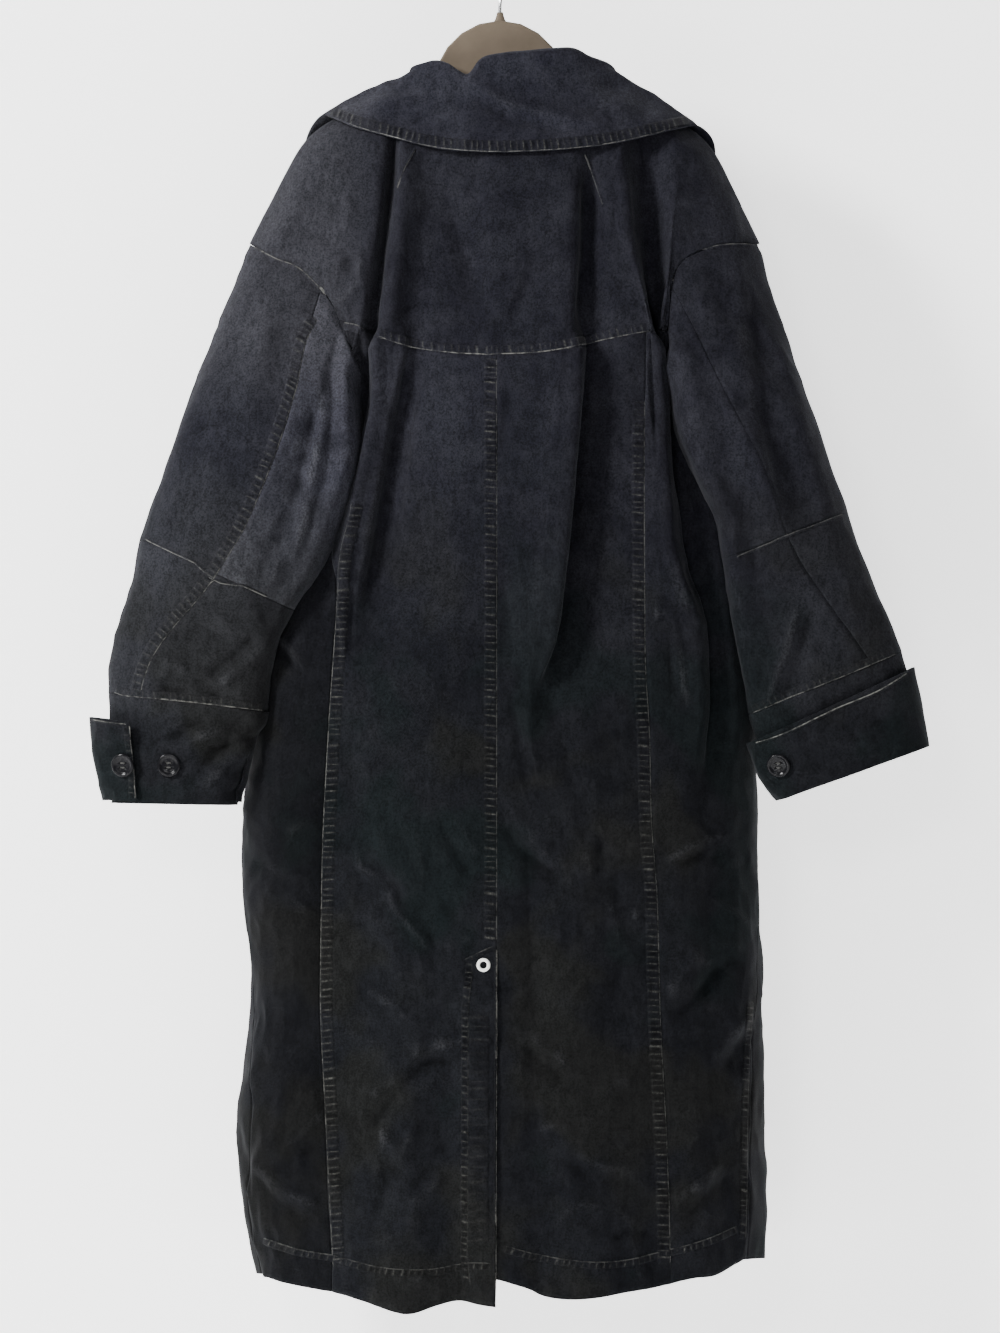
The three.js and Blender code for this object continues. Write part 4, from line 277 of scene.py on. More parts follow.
# Sewn seams on the cloth: name, where, band width mm, side of the band, pucker, paleness of its edge,
# points (x, z) in mm
SEAMS = [
    ("yoke", "body", 9.6, -1, 0.45, 0.75, [
        (-119, -378), (-84.5, -383.7), (-20.2, -390.4), (-1, -390.4), (65.3, -384.7), (99.8, -376),
        (144, -366.4),
    ]),
    ("yoke_side_left", "body", 8.6, 1, 0.4, 0.5, [(-151.7, -357.8), (-138.2, -359.7), (-128.6, -364.5)]),
    ("centre_back", "body", 13.4, 1, 0.8, 0.45, [
        (-3.8, -393.3), (-4.8, -625.6), (-4.8, -817.6), (-4.8, -953),
    ]),
    ("princess_left", "body", 13.4, -1, 0.8, 0.5, [
        (-148.8, -529.6), (-152.6, -558.4), (-155.5, -587.2), (-160.3, -687.1), (-166.1, -774.4),
        (-170.9, -899.2), (-171.8, -1005.8), (-166.1, -1132.5), (-159.4, -1265),
    ]),
    ("princess_right", "body", 13.4, 1, 0.8, 0.5, [
        (138.2, -433.6), (138.2, -587.2), (138.2, -681.3), (143, -753.3), (145, -836.8),
        (150.7, -913.6), (153.6, -1019.2), (160.3, -1152.7), (165.1, -1261.2),
    ]),
    ("vent_edge", "body", 3.3, 1, 0.15, 0.9, [(-3.4, -957.8), (-3.8, -1105.6), (-4.3, -1284.2)]),
    ("vent_facing", "body", 7.7, 1, 1.0, 0.1, [(-26.9, -971.2), (-27.8, -1105.6), (-26.9, -1280.4)]),
    ("vent_gather", "body", 21.1, -1, 0.55, 0.0, [
        (-27.8, -1019.2), (-29.8, -1067.2), (-32.6, -1134.4), (-31.7, -1192), (-28.8, -1240),
    ]),
    ("vent_top", "body", 4.8, 1, 0.3, 0.3, [(-35.5, -969.3), (-19.2, -961.6), (-4.8, -954.9)]),
    ("sleeve_left", "arm", 12.5, 1, 0.7, 0.6, [
        (-162.2, -362.6), (-173.8, -382.8), (-185.3, -418.3), (-204.5, -452.8), (-219.8, -488.4),
        (-233.3, -525.8), (-248.6, -561.3), (-268.8, -594.9), (-289, -623.7), (-318.7, -655.4),
        (-333.1, -677.5), (-339.8, -698.6), (-342.7, -719.7),
    ]),
    ("armhole_left", "shoulder", 3.5, 1, 0.15, 0.7, [
        (-239, -282.9), (-217.9, -295.4), (-195.8, -304), (-178.6, -318.4), (-167, -331.9),
    ]),
    ("armhole_right", "shoulder", 3.5, -1, 0.15, 0.6, [(247.7, -281), (213.1, -282), (194.9, -287.7)]),
    ("armhole_allowance_right", "shoulder", 13.4, 1, -3.0, 0.0, [
        (194.9, -287.7), (176.6, -300.2), (168, -312.7), (164.2, -330),
    ]),
    ("dart_left", "body", 3.1, 1, 0.1, 0.35, [(-79.7, -189.8), (-91.2, -210.9), (-98.9, -232)]),
    ("dart_right", "body", 3.1, -1, 0.1, 0.4, [(80.6, -195.6), (90.2, -220.5), (98.9, -247.4)]),
    ("elbow_left", "arm", 3.3, -1, 0.15, 0.6, [
        (-342.7, -567.1), (-314.9, -584.4), (-288, -600.7), (-256.3, -621.8), (-226.6, -636.2),
    ]),
    ("elbow_right", "arm", 3.3, 1, 0.15, 0.3, [
        (225.6, -587.2), (267.8, -565.2), (296.6, -552.7), (330.2, -541.2),
    ]),
    ("cuff_seam_left", "arm", 8.6, -1, 0.35, 0.8, [
        (-373.4, -715.9), (-345.6, -727.4), (-287, -725.5), (-226.6, -733.2),
    ]),
    ("cuff_seam_right", "arm", 8.6, -1, 0.35, 0.6, [
        (241, -733.2), (279.4, -714.9), (335, -695.7), (381.1, -676.5),
    ]),
    ("cuff_seam2_left", "arm", 2.5, -1, 0.1, 0.6, [
        (-371.5, -721.6), (-338.9, -732.2), (-287, -734.1), (-228.5, -739.9),
    ]),
    ("flap_edge_left", "turnback", 7.7, 1, 0.6, 1.0, [
        (-354.7, -744.7), (-352.3, -764.8), (-349.4, -790.8), (-349, -817.6),
    ]),
    ("hem_left", "body", 7.7, 1, 0.45, 0.25, [
        (-228.5, -1237.2), (-192, -1246.8), (-153.6, -1252.5), (-115.2, -1261.2), (-67.2, -1263.1),
        (-28.8, -1257.3), (-7.7, -1257.3),
    ]),
    ("hem_right", "body", 7.7, 1, 0.45, 0.25, [
        (1.9, -1240), (38.4, -1249.6), (76.8, -1255.4), (115.2, -1255.4), (153.6, -1247.7),
        (192, -1238.1), (228.5, -1224.7),
    ]),
    ("side_right", "body", 7.7, 1, 0.6, 0.25, [
        (241.9, -1009.6), (241, -1105.6), (235.2, -1182.4), (231.4, -1240),
    ]),
    ("turn_edge_right", "turnback", 3.5, 1, 0.15, 1.0, [
        (242.9, -762.9), (271.7, -753.3), (319.7, -730.3), (361, -713), (391.7, -694.8),
    ]),
    ("turn_edge_left", "turnback", 3.5, 1, 0.15, 0.8, [(-392.6, -739.9), (-374.4, -742.8), (-356.2, -744.7)]),
    ("collar_edge", "collar", 12.5, -1, 0.7, 0.9, [
        (-167, -159.1), (-141.1, -169.6), (-98.9, -182.1), (-70.1, -190.8), (-2.9, -195.6),
        (70.1, -191.7), (126.7, -183.1), (187.2, -170.6),
    ]),
]


def smoothstep(t):
    t = np.clip(t, 0.0, 1.0)
    return t * t * (3.0 - 2.0 * t)


def new_object(name, mesh):
    thing = bpy.data.objects.new(name, mesh)
    bpy.context.scene.collection.objects.link(thing)
    return thing


def finished(thing):
    """The mesh of an object with its modifiers applied, in a fresh object of the same name."""
    graph = bpy.context.evaluated_depsgraph_get()
    mesh = bpy.data.meshes.new_from_object(thing.evaluated_get(graph))
    name = thing.name
    bpy.data.objects.remove(thing)
    return new_object(name, mesh)


def positions(mesh):
    co = np.empty(len(mesh.vertices) * 3)
    mesh.vertices.foreach_get("co", co)
    return co.reshape(-1, 3)


def normals(mesh):
    n = np.empty(len(mesh.vertices) * 3)
    mesh.vertex_normals.foreach_get("vector", n)
    return n.reshape(-1, 3)


def shade_smooth(mesh):
    for polygon in mesh.polygons:
        polygon.use_smooth = True


def cad_shape(name):
    """A CAD node's faces with their common points joined."""
    shape = bmesh.new()
    shape.from_mesh(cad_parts[name].data)
    bmesh.ops.remove_doubles(shape, verts=shape.verts, dist=SAME)
    return shape


def point_tree(places):
    tree = KDTree(len(places))
    for k, place in enumerate(places):
        tree.insert(place, k)
    tree.balance()
    return tree


def grown(start, left):
    """The faces of a set that hang together with one of them, taken out of the set."""
    region = {start}
    stack = [start]
    while stack:
        face = stack.pop()
        for edge in face.edges:
            for near in edge.link_faces:
                if near in left:
                    left.discard(near)
                    region.add(near)
                    stack.append(near)
    return region


def on_rim(face, name, wall):
    """Whether a face belongs to the narrow rim that joins the outer and inner faces of a wall."""
    sides = [edge.calc_length() / MM for edge in face.edges]
    if name == "collar":
        return any(0.96 * wall < side < 1.04 * wall for side in sides)
    widest = 1.31 * wall
    bend = math.radians(60)
    bent = any(side > widest and edge.calc_face_angle(0) > bend for side, edge in zip(sides, face.edges))
    return min(sides) < widest and bent


def outer_skin(name, wall):
    """The outer faces of a cloth node's closed wall, as quads."""
    shape = cad_shape(name)
    shape.normal_update()
    tree = BVHTree.FromBMesh(shape)
    faces = set()
    for face in shape.faces:
        middle = face.calc_center_median()
        hit = tree.ray_cast(middle - face.normal * 0.1 * MM, -face.normal, 0.02)
        thin = hit[0] is not None and hit[3] <= WALL_MOST
        if thin and not on_rim(face, name, wall):
            faces.add(face)
    regions = []
    while faces:
        regions.append(grown(faces.pop(), faces))
    regions.sort(key=lambda region: -sum(face.calc_area() for face in region))
    both = regions[:2]
    outer = both[0]
    if name.startswith(("back", "side", "front")):
        turned = [sum(face.normal.y * face.calc_area() for face in region) for region in both]
        pick = max if name.startswith("front") else min
        outer = both[turned.index(pick(turned))]
    other = both[1] if outer is both[0] else both[0]
    # The rim's faces that lie along two outer ones belong to the outer side
    grew = True
    while grew:
        grew = False
        for face in shape.faces:
            if face in outer or face in other:
                continue
            touching = sum(1 for edge in face.edges for near in edge.link_faces if near in outer)
            if touching >= 2:
                outer.add(face)
                grew = True
    bmesh.ops.delete(shape, geom=[face for face in shape.faces if face not in outer], context="FACES")
    bmesh.ops.join_triangles(shape, faces=shape.faces[:], angle_face_threshold=3.1, angle_shape_threshold=3.1)
    return shape


def close_seams(shape, distance):
    """Moves the cut edges outwards in their own surface, so that panels meet."""
    moves = []
    for vert in shape.verts:
        rim = [edge for edge in vert.link_edges if edge.is_boundary]
        if len(rim) != 2:
            continue
        inward = Vector()
        for face in vert.link_faces:
            inward += (face.calc_center_median() - vert.co).normalized()
        along = (rim[0].other_vert(vert).co - rim[1].other_vert(vert).co).normalized()
        inward -= along * inward.dot(along)
        if inward.length > 1e-6:
            moves.append((vert, inward.normalized() * -distance))
    for vert, move in moves:
        vert.co += move


def dense_mesh(name, wall, levels):
    """A cloth node's outer side, subdivided."""
    shape = outer_skin(name, wall)
    close_seams(shape, SEAM_GAP)
    mesh = bpy.data.meshes.new(name)
    shape.to_mesh(mesh)
    shape.free()
    thing = new_object("shell_" + name, mesh)
    smooth = thing.modifiers.new("smooth", "SUBSURF")
    smooth.levels = levels
    smooth.render_levels = levels
    smooth.boundary_smooth = "PRESERVE_CORNERS"
    # The smooth surface is drawn near the node's own points, so that neighbouring pieces still meet
    aim = positions(mesh)
    held = aim.copy()
    reach = (8.0 if name.startswith(("sleeve", "cuff")) else 4.5) * MM
    for _ in range(4):
        graph = bpy.context.evaluated_depsgraph_get()
        smoothed = thing.evaluated_get(graph).to_mesh()
        held += aim - positions(smoothed)[: len(aim)]
        thing.evaluated_get(graph).to_mesh_clear()
        shift = held - aim
        size = np.linalg.norm(shift, axis=1, keepdims=True)
        held = aim + shift * np.minimum(1.0, reach / np.maximum(size, 1e-9))
        mesh.vertices.foreach_set("co", held.ravel())
        mesh.update()
        thing.update_tag()
    thing = finished(thing)
    shade_smooth(thing.data)
    return thing


def along_line(px, pz, points):
    """Signed distance in mm from a line of (x, z) points, and how far along the line, as a share."""
    line = np.array(points, float)
    steps = np.diff(line, axis=0)
    lengths = np.hypot(steps[:, 0], steps[:, 1])
    done = np.concatenate([[0.0], np.cumsum(lengths)])
    best = np.full(len(px), 1e9)
    signed = np.zeros(len(px))
    share = np.zeros(len(px))
    for i, (step, length) in enumerate(zip(steps, lengths)):
        dx = px - line[i, 0]
        dz = pz - line[i, 1]
        raw = (dx * step[0] + dz * step[1]) / length**2
        first = -1e9 if i == 0 else 0.0
        last = 1e9 if i == len(steps) - 1 else 1.0
        t = np.clip(raw, 0.0, 1.0)
        off = np.hypot(dx - step[0] * t, dz - step[1] * t)
        closer = off < best
        side = np.sign(dz * step[0] - dx * step[1])
        best = np.where(closer, off, best)
        signed = np.where(closer, off * side, signed)
        share = np.where(closer, (done[i] + np.clip(raw, first, last) * length) / done[-1], share)
    return signed, share


def facing(front, n):
    """How much of a crease each point takes, by the side of the coat it is on."""
    return smoothstep(0.15 + n[:, 1] * (1.6 if front else -1.6))


def crease_height(where, co, n):
    """The summed height of a region's creases at each point."""
    px = co[:, 0] / MM
    pz = co[:, 2] / MM
    height = np.zeros(len(co))
    for place, rise, left, right, points in CREASES:
        if place not in (where, where + "_front"):
            continue
        xs = [p[0] for p in points]
        zs = [p[1] for p in points]
        room = 3 * max(left, right)
        near = (px > min(xs) - room) & (px < max(xs) + room) & (pz > min(zs) - room) & (pz < max(zs) + room)
        if not near.any():
            continue
        index = np.nonzero(near)[0]
        off, share = along_line(px[index], pz[index], points)
        wide = np.where(off < 0, left, right)
        ends = smoothstep(share / CREASE_END) * smoothstep((1.0 - share) / CREASE_END)
        uneven = 1.0 + 0.2 * np.sin(share * 9.0 + rise * 5.0)
        shape = np.exp(-np.abs(off / wide) ** 1.7)
        turned = facing(place.endswith("_front"), n[index])
        height[index] += rise * shape * ends * uneven * turned
    return height * MM


def crumple(co, coarse, fine):
    """Washed cloth's soft crumples: irregular low ridges of two sizes."""
    height = np.empty(len(co))
    for i, (x, y, z) in enumerate(co):
        place = Vector((x * 17.0, y * 17.0, z * 13.0))
        bend = noise.noise(place * 0.6) * 1.4
        broad = 1.0 - 2.0 * abs(noise.noise(place + Vector((bend, 0.0, bend))))
        small = 1.0 - 2.0 * abs(noise.noise(place * 2.9 + Vector((7.0 + bend, 3.0, 5.0))))
        height[i] = coarse[i] * broad + fine[i] * small
    return height * MM


def panel_region(name):
    """The name that a piece's creases have in CREASES."""
    words = name.split("_")
    if words[0] == "sleeve":
        return "arm_" + words[1]
    if words[0] == "cuff":
        return "cuff_" + words[2]
    return "collar" if name == "collar" else "body"


def behind_sleeves(co, n):
    """The body's sides swell a little under the arms, where the sleeves hang against them."""
    depth = -co[:, 2] / MM
    fading = np.where(co[:, 0] < 0, 140, 80)
    reach = smoothstep((depth - 362) / 25) * smoothstep((800 - depth) / fading)
    away = smoothstep(from_armhole(co) / ARMHOLE_FADE)
    return BODY_SWELL * reach * away * smoothstep((np.abs(n[:, 0]) - 0.35) / 0.4)


def towards_body(co, n):
    """The sleeves' inner folds swell towards the body below the armholes."""
    depth = -co[:, 2] / MM
    reach = smoothstep((depth - 365) / 25) * smoothstep((700 - depth) / 150)
    away = smoothstep(from_armhole(co) / ARMHOLE_FADE)
    inward = -n[:, 0] * np.sign(co[:, 0])
    return SLEEVE_SWELL * reach * away * smoothstep((inward - 0.25) / 0.4)


def cuff_edge(co, n):
    """The left cuff's inner side bulges against the coat's side."""
    depth = -co[:, 2] / MM
    reach = smoothstep((depth - 728) / 14) * smoothstep((792 - depth) / 36)
    return CUFF_SWELL * reach * smoothstep((n[:, 0] - 0.25) / 0.4)


def store(mesh, name, values):
    """Keeps a value for each point, for the finish to read."""
    layer = mesh.attributes.new(name, "FLOAT", "POINT")
    layer.data.foreach_set("value", values.astype(np.float32))


def neighbour_mean(mesh, values, rounds):
    """Values smoothed over the mesh's edges."""
    ends = np.empty(len(mesh.edges) * 2, np.int32)
    mesh.edges.foreach_get("vertices", ends)
    a = ends[0::2]
    b = ends[1::2]
    size = len(values)
    count = np.bincount(a, minlength=size) + np.bincount(b, minlength=size)
    for _ in range(rounds):
        total = np.bincount(a, weights=values[b], minlength=size)
        total += np.bincount(b, weights=values[a], minlength=size)
        values = 0.5 * values + 0.5 * total / count
    return values


def rim_points(mesh):
    """Which points of a mesh lie on its open edges."""
    uses = np.zeros(len(mesh.edges), np.int32)
    edge_of = np.empty(len(mesh.loops), np.int32)
    mesh.loops.foreach_get("edge_index", edge_of)
    np.add.at(uses, edge_of, 1)
    ends = np.empty(len(mesh.edges) * 2, np.int32)
    mesh.edges.foreach_get("vertices", ends)
    return np.unique(ends.reshape(-1, 2)[uses == 1])


def share_rims(things):
    """Points of sewn edges that lie together take one normal, so that they are shaped alike."""
    entries = []
    for thing in things:
        co = positions(thing.data)
        n = normals(thing.data)
        rim_normals[thing.name] = n
        entries.extend((thing.name, i, co[i], n[i].copy()) for i in rim_points(thing.data))
    tree = point_tree([entry[2] for entry in entries])
    for name, i, place, _ in entries:
        total = np.zeros(3)
        for _, k, _ in tree.find_range(Vector(place), RIM_REACH):
            total += entries[k][3]
        size = np.linalg.norm(total)
        if size > 0.2:
            rim_normals[name][i] = total / size


def from_armhole(co):
    """Distance in mm from the seam between sleeves and body."""
    return np.array([armholes.find(Vector(place))[2] for place in co]) / MM


def armhole_tree(things):
    """Points where a sleeve's edge lies on the body's edge."""
    body = []
    sleeve = []
    for thing in things:
        if any(word in thing.name for word in ("cuff", "lower", "collar")):
            continue
        co = positions(thing.data)
        kind = sleeve if "sleeve" in thing.name else body
        kind.extend(co[i] for i in rim_points(thing.data))
    near = point_tree(body)
    return point_tree([place for place in sleeve if near.find(Vector(place))[2] < 3.5 * MM])


def edge_tree(things, clear):
    """Edges of cloth pieces as seen from behind, flattened onto the plane y = 0, clear of the armholes."""
    points = []
    for thing in things:
        co = positions(thing.data)
        n = rim_normals[thing.name]
        for i in rim_points(thing.data):
            if n[i][1] < -0.2 and armholes.find(Vector(co[i]))[2] >= clear * MM:
                points.append(Vector((co[i][0], 0.0, co[i][2])))
    return point_tree(points)


def shape_panel(thing, name):
    """Gives a piece its creases, crumples and swells, and stores what its finish needs."""
    mesh = thing.data
    co = positions(mesh)
    n = rim_normals[thing.name]
    height = crease_height(panel_region(name), co, n)
    low = smoothstep((-co[:, 2] - 0.62) / 0.35)
    if name.startswith("sleeve"):
        low = np.full(len(co), SLEEVE_CRUMPLES)
    if name == "collar":
        low = np.full(len(co), COLLAR_CRUMPLES)
    height += crumple(co, COARSE[0] + COARSE[1] * low, FINE[0] + FINE[1] * low)
    # The cloth lies flat under its buttons and eyelet
    for centre in fastenings:
        height *= smoothstep((np.linalg.norm(co - centre, axis=1) / MM - FLAT_ROUND) / FLAT_FADE)
    # Crests are painted pale, as wear and painted highlight, and dips dark, as painted shade
    store(mesh, "rubbed", (height - neighbour_mean(mesh, height, 14)) / MM)
    store(mesh, "faded", np.full(len(co), FADE_AND_PAINTED_LIGHT.get(name, 0.0)))
    if name.startswith(("side", "front", "back")):
        height += behind_sleeves(co, n)
    if name.startswith("sleeve"):
        height *= smoothstep(from_armhole(co) / ARMHOLE_FADE)
        height += towards_body(co, n)
    if name == "cuff_band_left":
        height += cuff_edge(co, n)
    mesh.vertices.foreach_set("co", (co + n * height[:, None]).ravel())
    mesh.update()


def thicken(thing):
    wall = thing.modifiers.new("wall", "SOLIDIFY")
    wall.thickness = CLOTH
    wall.offset = -1.0
    wall.use_even_offset = False
    wall.use_quality_normals = True


def cloth_piece(thing, name, width, length, share, held):
    """A cut piece of cloth in place of its node."""
    shape_panel(thing, name)
    mesh = thing.data
    skins[name] = (
        [vert.co.copy() for vert in mesh.vertices],
        [list(polygon.vertices) for polygon in mesh.polygons],
    )
    thicken(thing)
    thing = finished(thing)
    shade_smooth(thing.data)
    kind = "collar" if name == "collar" else "cloth"
    thing.data.materials.clear()
    thing.data.materials.append(materials[kind])
    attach(thing, "root")
    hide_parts(name)


def skins_tree(names):
    """One surface of several cloth pieces, to lay sewing on."""
    points = []
    faces = []
    for name in names:
        first = len(points)
        verts, polygons = skins[name]
        points.extend(verts)
        faces.extend([[first + i for i in polygon] for polygon in polygons])
    return BVHTree.FromPolygons(points, faces)


def on_cloth(tree, x, z):
    """The outermost point and normal of the cloth at x, z, seen from behind."""
    hit = tree.ray_cast(Vector((x, -0.6, z)), Vector((0, 1, 0)))
    if hit[0] is None:
        hit = tree.find_nearest(Vector((x, -0.05, z)))
    return hit[0], backwards(hit[1])


def backwards(normal):
    return -normal if normal.y > 0 else normal


def even_points(points, pitch):
    """Points of a smooth line at an even pitch, with the direction at each, in metres."""
    line = [Vector((x * MM, z * MM)) for x, z in points]
    fine = []
    for i in range(len(line) - 1):
        # A cubic through b and c that keeps the direction of their neighbours
        a = line[max(0, i - 1)]
        b = line[i]
        c = line[i + 1]
        d = line[min(len(line) - 1, i + 2)]
        for k in range(12):
            t = k / 12
            bend = 2 * a - 5 * b + 4 * c - d
            twist = 3 * b - a - 3 * c + d
            fine.append(0.5 * (2 * b + (c - a) * t + bend * t * t + twist * t**3))
    fine.append(line[-1])
    steps = [(fine[i + 1] - fine[i]).length for i in range(len(fine) - 1)]
    done = np.concatenate([[0.0], np.cumsum(steps)])
    count = max(2, int(round(done[-1] / pitch)))
    at = np.linspace(0.0, done[-1], count + 1)
    xs = np.interp(at, done, [p.x for p in fine])
    zs = np.interp(at, done, [p.y for p in fine])
    dx = np.gradient(xs)
    dz = np.gradient(zs)
    size = np.hypot(dx, dz)
    return xs, zs, dx / size, dz / size, done[-1]


def follow_edge(where, xs, zs, dx, dz):
    """Moves a band's line across itself onto the pieces' own edge, if most of it runs close by."""
    found = [piece_edges[where].find(Vector((x, 0.0, z))) for x, z in zip(xs, zs)]
    reach = ARM_REACH if where == "arm" else BAND_REACH
    close = [i for i, hit in enumerate(found) if hit[2] < reach]
    if len(close) <= 0.5 * len(xs):
        return xs, zs
    shift = [(found[i][0].x - xs[i]) * dz[i] - (found[i][0].z - zs[i]) * dx[i] for i in close]
    shift = np.interp(np.arange(len(xs)), close, shift)
    shift = np.convolve(np.pad(shift, SMOOTHED // 2, mode="edge"), np.ones(SMOOTHED) / SMOOTHED, "valid")
    return xs + shift * dz, zs - shift * dx


def stitched(seed, s, t, length, width, pucker):
    """Height in mm of a band, s mm along it and t of its width across, puckered by stitches, and its painted
    light there: pale on the puckers' crests as wear and painted highlight, dark between them as painted
    shade.
    """
    pitch = PUCKER_PITCH + 0.35 * max(0.0, width - 14.0)
    wave = noise.noise(Vector((s * 0.06, 3.0, seed)))
    strength = 0.75 + 0.6 * noise.noise(Vector((s * 0.035, 8.0, seed)))
    uneven = 0.55 + 0.9 * abs(noise.noise(Vector((s * 0.15, 5.0, seed))) + 0.35)
    swell = math.sin(s * 2 * math.pi / pitch + 4.5 * wave + 1.4 * t)
    crest = max(0.0, swell) ** 1.3
    swell = 1.0 - 2.0 * (0.5 - 0.5 * swell) ** 1.6
    crown = math.sin(math.pi * t)
    ending = min(1.0, s / 5.0, (length - s) / 5.0)
    rise = 0.3 + 0.5 * min(1.0, 4 * crown) + pucker * strength * uneven * crown * swell
    rise = rise * ending - 0.5 * (1.0 - ending)
    worn = crown**0.6 * max(0.2, strength) * uneven * ending * min(1.0, pucker * 1.6)
    if width > 16:
        # The vent's wide gathers get less of this wear and painted light than a narrow band
        worn *= 0.3
    return rise, (2.6 * crest - 1.2) * worn


def seam_strip(name, where, width, side, pucker, pale, points):
    """A sewn band laid on the cloth beside its seam line."""
    xs, zs, dx, dz, length = even_points(points, BAND_PITCH)
    if where in piece_edges:
        xs, zs = follow_edge(where, xs, zs, dx, dz)
    tree = trees[where]
    columns = len(xs)
    across = 4 if width < 6 else max(8, round(width / 1.8))
    # A seam's own line lies just inside its band, an allowance lies on both sides of it
    inset = 0.6 if pucker > 0 else width / 2
    shape = bmesh.new()
    bmesh.ops.create_grid(shape, x_segments=columns - 1, y_segments=across, size=0.5)
    layer = shape.loops.layers.uv.new("UVMap")
    spots = {}
    hits = {}
    for vert in shape.verts:
        i = round((vert.co.x + 0.5) * (columns - 1))
        j = round((vert.co.y + 0.5) * across)
        off = side * (width * j / across - inset) * MM
        x = xs[i] + dz[i] * off
        z = zs[i] - dx[i] * off
        spots[vert] = (i, j, x, z)
        hits[(i, j)] = on_cloth(tree, x, z)
    depth = [np.median([hits[(i, j)][0].y for j in range(across + 1)]) for i in range(columns)]
    # A point this much nearer or farther than its neighbours has missed its cloth
    most = 6 * MM if where == "shoulder" else 16 * MM
    place = {}
    rubbed = []
    for vert in shape.verts:
        i, j, x, z = spots[vert]
        t = j / across
        s = i / (columns - 1) * length / MM
        point, normal = hits[(i, j)]
        usual = np.median(depth[max(0, i - 6) : i + 7])
        if abs(point.y - usual) > most:
            near = tree.find_nearest(Vector((x, usual, z)))
            point = near[0]
            normal = backwards(near[1])
        rise, wear_and_light = stitched(len(name), s, t, length / MM, width, pucker)
        if j in (0, across):
            rise = TUCKED
        if pucker < 0:
            # A seam allowance lies inside the cloth
            rise = pucker
        vert.co = point + normal * rise * MM
        place[vert] = (s, t * width)
        rubbed.append(wear_and_light)
    for face in shape.faces:
        for loop in face.loops:
            loop[layer].uv = place[loop.vert]
    shape.normal_update()
    if sum(face.normal.y * face.calc_area() for face in shape.faces) > 0:
        bmesh.ops.reverse_faces(shape, faces=shape.faces[:])
    thing = settle(shape, "seam_" + name, materials["seam"])
    store(thing.data, "rubbed", np.array(rubbed))
    store(thing.data, "pale", np.full(len(rubbed), pale))
    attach(thing, "root")


def frame_of(node):
    """Centre of a small round CAD node, and the direction in which it faces out of the cloth."""
    co = positions(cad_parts[node].data)
    axis = Vector(np.linalg.eigh(np.cov((co - co.mean(0)).T))[1][:, 0])
    outward = 1 if node.startswith("front") else -1
    if axis.y * outward < 0:
        axis = -axis
    return Vector((co.min(0) + co.max(0)) / 2), axis


def standing(centre, axis):
    """The matrix that puts a turned shape at a centre with its own Z along an axis."""
    return Matrix.Translation(centre) @ axis.to_track_quat("Z", "Y").to_matrix().to_4x4()


def spun(profile, steps=40):
    """A turned shape about Z from (radius, height) points in mm."""
    shape = bmesh.new()
    verts = [shape.verts.new((r * MM, 0, h * MM)) for r, h in profile]
    lines = [shape.edges.new(pair) for pair in zip(verts, verts[1:])]
    bmesh.ops.spin(
        shape,
        geom=verts + lines,
        cent=(0, 0, 0),
        axis=(0, 0, 1),
        angle=2 * math.pi,
        steps=steps,
        use_merge=True,
    )
    bmesh.ops.remove_doubles(shape, verts=shape.verts, dist=0.005 * MM)
    bmesh.ops.recalc_face_normals(shape, faces=shape.faces)
    return shape


def settle(shape, name, finish):
    """An object with one finish from a finished shape."""
    mesh = bpy.data.meshes.new(name)
    shape.to_mesh(mesh)
    shape.free()
    shade_smooth(mesh)
    mesh.materials.append(finish)
    return new_object(name, mesh)


def button(node):
    """A turned four-hole button with a raised rim, sewn on with two bars of thread."""
    centre, axis = frame_of(node)
    at = standing(centre - axis * 1.7 * MM, axis)
    thing = settle(spun(BUTTON), "button_" + node, materials["button"])
    drill = bmesh.new()
    for x in (-HOLE_PLACE, HOLE_PLACE):
        for y in (-HOLE_PLACE, HOLE_PLACE):
            bmesh.ops.create_cone(
                drill,
                cap_ends=True,
                segments=16,
                radius1=1.05 * MM,
                radius2=1.05 * MM,
                depth=8 * MM,
                matrix=Matrix.Translation((x * MM, y * MM, 1.0 * MM)),
            )
    tool = settle(drill, "drill", materials["button"])
    cut = thing.modifiers.new("holes", "BOOLEAN")
    cut.operation = "DIFFERENCE"
    cut.object = tool
    cut.solver = "EXACT"
    thing = finished(thing)
    bpy.data.objects.remove(tool)
    thing.data.transform(at)
    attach(thing, "root")
    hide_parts(node)
    thread = bmesh.new()
    for y in (-HOLE_PLACE, HOLE_PLACE):
        for lift in (0, 1):
            made = bmesh.ops.create_uvsphere(thread, u_segments=8, v_segments=6, radius=1.0)
            shift = Matrix.Translation((0, (y - 0.35 + 0.7 * lift) * MM, (1.75 + 0.1 * lift) * MM))
            scale = Matrix.Diagonal((2.7 * MM, 0.42 * MM, 0.5 * MM, 1.0))
            bmesh.ops.transform(thread, matrix=at @ shift @ scale, verts=made["verts"])
    sewn = settle(thread, "thread_" + node, materials["thread"])
    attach(sewn, "root")


def eyelet():
    """The painted metal ring at the vent."""
    centre, axis = frame_of("vent_eyelet")
    thing = settle(spun(EYELET + EYELET[:1], 44), "eyelet_ring", materials["eyelet"])
    thing.data.transform(standing(centre, axis))
    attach(thing, "root")
    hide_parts("vent_eyelet")


